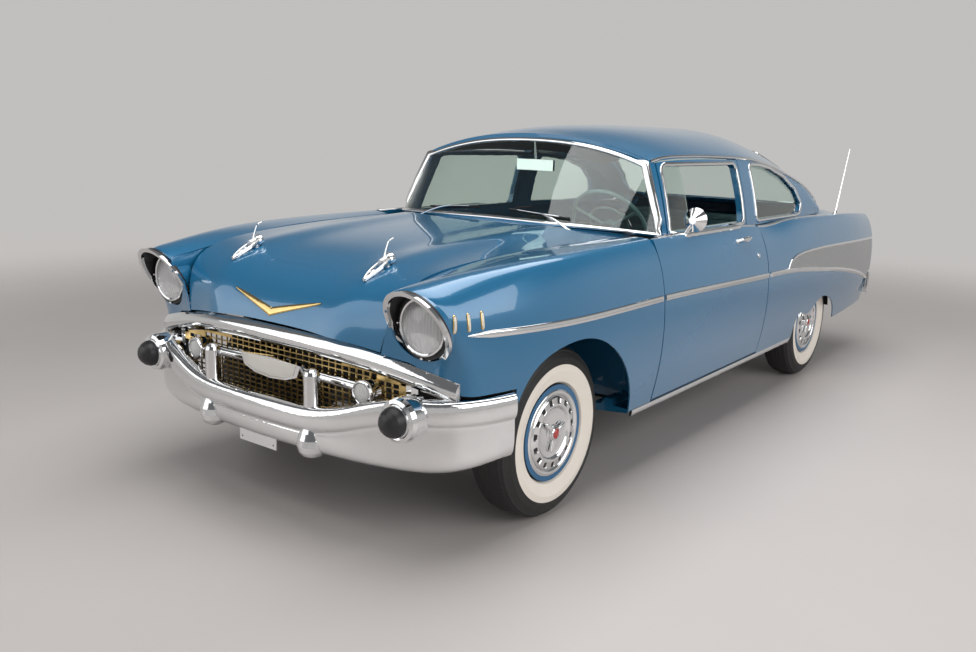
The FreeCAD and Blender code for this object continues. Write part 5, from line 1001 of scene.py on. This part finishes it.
def stuffed(name, centre, half_sizes, lean=0.0):
    """Padded piece: the block is remeshed and blown up as cloth for twenty frames, but held near its skin."""
    pad = fitted(name, [soft_block(centre, half_sizes, lean)], cloth)
    skin = pad.modifiers.new("skin", "REMESH")
    skin.mode = "VOXEL"
    skin.voxel_size = PAD_VOXEL
    skin.use_smooth_shade = True
    pad.data = baked(pad)
    pad.modifiers.clear()
    still = np.array([v.co for v in pad.data.vertices])
    blown = pad.modifiers.new("blown", "CLOTH")
    blown.settings.use_pressure = True
    blown.settings.uniform_pressure_force = 4.0
    blown.settings.effector_weights.gravity = 0.0
    for frame_number in range(1, 21):
        bpy.context.scene.frame_set(frame_number)
    moved = np.array([v.co for v in baked(pad).vertices]) - still
    length = np.linalg.norm(moved, axis=1)[:, None]
    moved *= np.minimum(1.0, PAD_GROWTH / np.maximum(length, 1e-9))
    pad.modifiers.clear()
    pad.data.vertices.foreach_set("co", (still + moved).astype(np.float32).ravel())
    pad.data.update()
    bpy.context.scene.frame_set(1)
    rounder = pad.modifiers.new("rounder", "SUBSURF")
    rounder.levels = 1
    rounder.render_levels = 1
    pad.data.polygons.foreach_set("use_smooth", np.ones(len(pad.data.polygons), bool))


cloth = finish("seat_cloth", seat_cloth)
coat(cloth, ["front_seat", "rear_seat"])
stuffed("front_cushion", (0, -224, 596), (625, 228, 46))
stuffed("front_back_pad", (0, 112, 772), (625, 50, 200), BACK_LEAN)
stuffed("rear_cushion", (0, 908, 626), (585, 212, 46))
stuffed("rear_back_pad", (0, 1218, 780), (585, 50, 178), BACK_LEAN)


def lining_cloth(place):
    """Dark grey napped cloth."""
    nap = noise(place, 260.0, 4.0)
    return {"Base Color": nap.blend((0.020, 0.024, 0.026), (0.034, 0.039, 0.042)),
            "Roughness": nap * 0.1 + 0.85, "Normal": nap.bump(0.2, 0.001)}


roof_x, roof_y = np.meshgrid(np.linspace(-610, 610, 31), np.linspace(-640, 1040, 40))
starts = np.stack([roof_x, roof_y, 0 * roof_x + 1150.0], axis=-1)
ceiling = cast(search_tree("roof_panel"), starts.reshape(-1, 3), (0, 0, 1))[0].reshape(starts.shape)
ceiling -= (0, 0, 4.0)
fitted("roof_lining", [slab(ceiling, ceiling + (0, 0, 2.5))], finish("lining_cloth", lining_cloth))


# Steering wheel
# A thin moulded rim in teal grey on two spokes, with a plated horn ring and a bare boss.
STEERING_HUB = np.array([380.0, -595.0, 1035.0])
COLUMN_LEAN = math.radians(30)
HORN_RADIUS = 118.0


def moulded_rim(place):
    """Glossy teal-grey plastic."""
    return {"Base Color": noise(place, 5.0).blend((0.13, 0.25, 0.26), (0.16, 0.29, 0.30))}


coat(finish("moulded_rim", moulded_rim, Roughness=0.2, Coat_Weight=0.5), ["steering_wheel"])
tilt = np.array([0, math.cos(COLUMN_LEAN), math.sin(COLUMN_LEAN)])
horn = STEERING_HUB + tilt * 6
spin = np.linspace(0, 2 * math.pi, 73)[:-1, None]
ring_line = horn + HORN_RADIUS * (np.cos(spin) * (1.0, 0, 0) + np.sin(spin) * np.cross(tilt, (1.0, 0, 0)))
boss = [(0, 0), (30, 0), (34, 6), (28, 13), (12, 16), (0, 17)]
ring = moulding(ring_line, np.tile(tilt, (72, 1)), 7, 6, joined=True)
fitted("horn_ring", [ring, turned(boss, horn, tilt)], chrome, "steering_wheel_body")


# Wipers
# Two plated wipers rest low on the windshield. Each has a spindle with a cap on the cowl, a flat arm and a
# rubber blade.
WIPER_PIVOT = np.array([449.0, -1089.0, 1051.0])
cap = turned([(0, -14), (15, -14), (17, -4), (13, 8), (7, 13), (0, 14)], WIPER_PIVOT, (0, -0.35, 0.94), 28)
blade_starts = np.column_stack([np.linspace(415, 95, 40), np.full(40, -1500.0), np.linspace(1100, 1122, 40)])
on_glass, out_glass = cast(search_tree("fixed_glass"), blade_starts, (0, 1, 0))
out_glass = smoothed(out_glass, 6)
arm_line = along([WIPER_PIVOT + (0, 0, 8), on_glass[18] + out_glass[18] * 16], 24)
arm_line[:, 2] += 9 * np.sin(np.linspace(0, math.pi, 24))
arm = moulding(arm_line, np.tile((0.0, -0.6, 0.8), (24, 1)), np.linspace(11, 6, 24), 4)
spine = moulding(on_glass[6:34] + out_glass[6:34] * 12, out_glass[6:34], 5, 5)
both_sides("wiper_arm_{}", [cap, arm, spine], chrome)
both_sides("wiper_blade_{}", [moulding(on_glass + out_glass * 5, out_glass, 8, 9)], black)


# Door handles and lock
# Push-button handles are cast and plated, on two small escutcheons, with a key lock under the front one.
HANDLE_HEIGHT = 974.0
HANDLE_ENDS = (-190, -36)
LOCK_PLACE = (52.0, 885.0)
door_skin = search_tree("door_left")
grip = np.column_stack([np.linspace(*HANDLE_ENDS, 30), np.full(30, HANDLE_HEIGHT)])
places, outward = cast_side(door_skin, grip)
outward = smoothed(outward, 6)
lift = 24 * np.clip(np.sin(np.linspace(0, math.pi, 30)) * 2.2, 0, 1)
width = 17 - 4 * np.cos(np.linspace(0, 2 * math.pi, 30))
bow = moulding(places + outward * lift[:, None], outward, width, 9)
button_place = places[22] + outward[22] * 12
button = turned([(0, -12), (14, -12), (14, 6), (11, 12), (0, 13)], button_place, outward[22], 28)
plates = [pebble(places[k] + outward[k] * 1, (0, 1, 0), (0, 0, 1), (18, 13, 6)) for k in (2, 24)]
lock_place, lock_out = cast_side(door_skin, [LOCK_PLACE])
lock = turned([(0, -3), (14, -3), (14, 3), (10, 6), (4, 6), (0, 5)], lock_place[0], lock_out[0], 28)
both_sides("door_handle_{}", [bow, button, lock] + plates, chrome, "door_{}_body")


# Aerial
# A thin steel mast leans back on a small plated base on the left rear fender.
base, up = cast(search_tree("quarter_panel_left"), [(822.0, 1590.0, 1400.0)], (0, 0, -1))
mast = along([base[0], base[0] + (8, 150, 420)], 40)
foot = turned([(0, -6), (17, -6), (17, 1), (10, 10), (6, 26), (0, 30)], base[0], (0, 0.2, 1))
rod = moulding(mast, np.tile((1.0, 0, 0), (40, 1)), np.linspace(4.5, 2.4, 40), np.linspace(4.0, 2.2, 40))
fitted("aerial", [foot, rod, pebble(mast[-1], (0, 0, 1), (1, 0, 0), (4, 4, 4))], chrome)
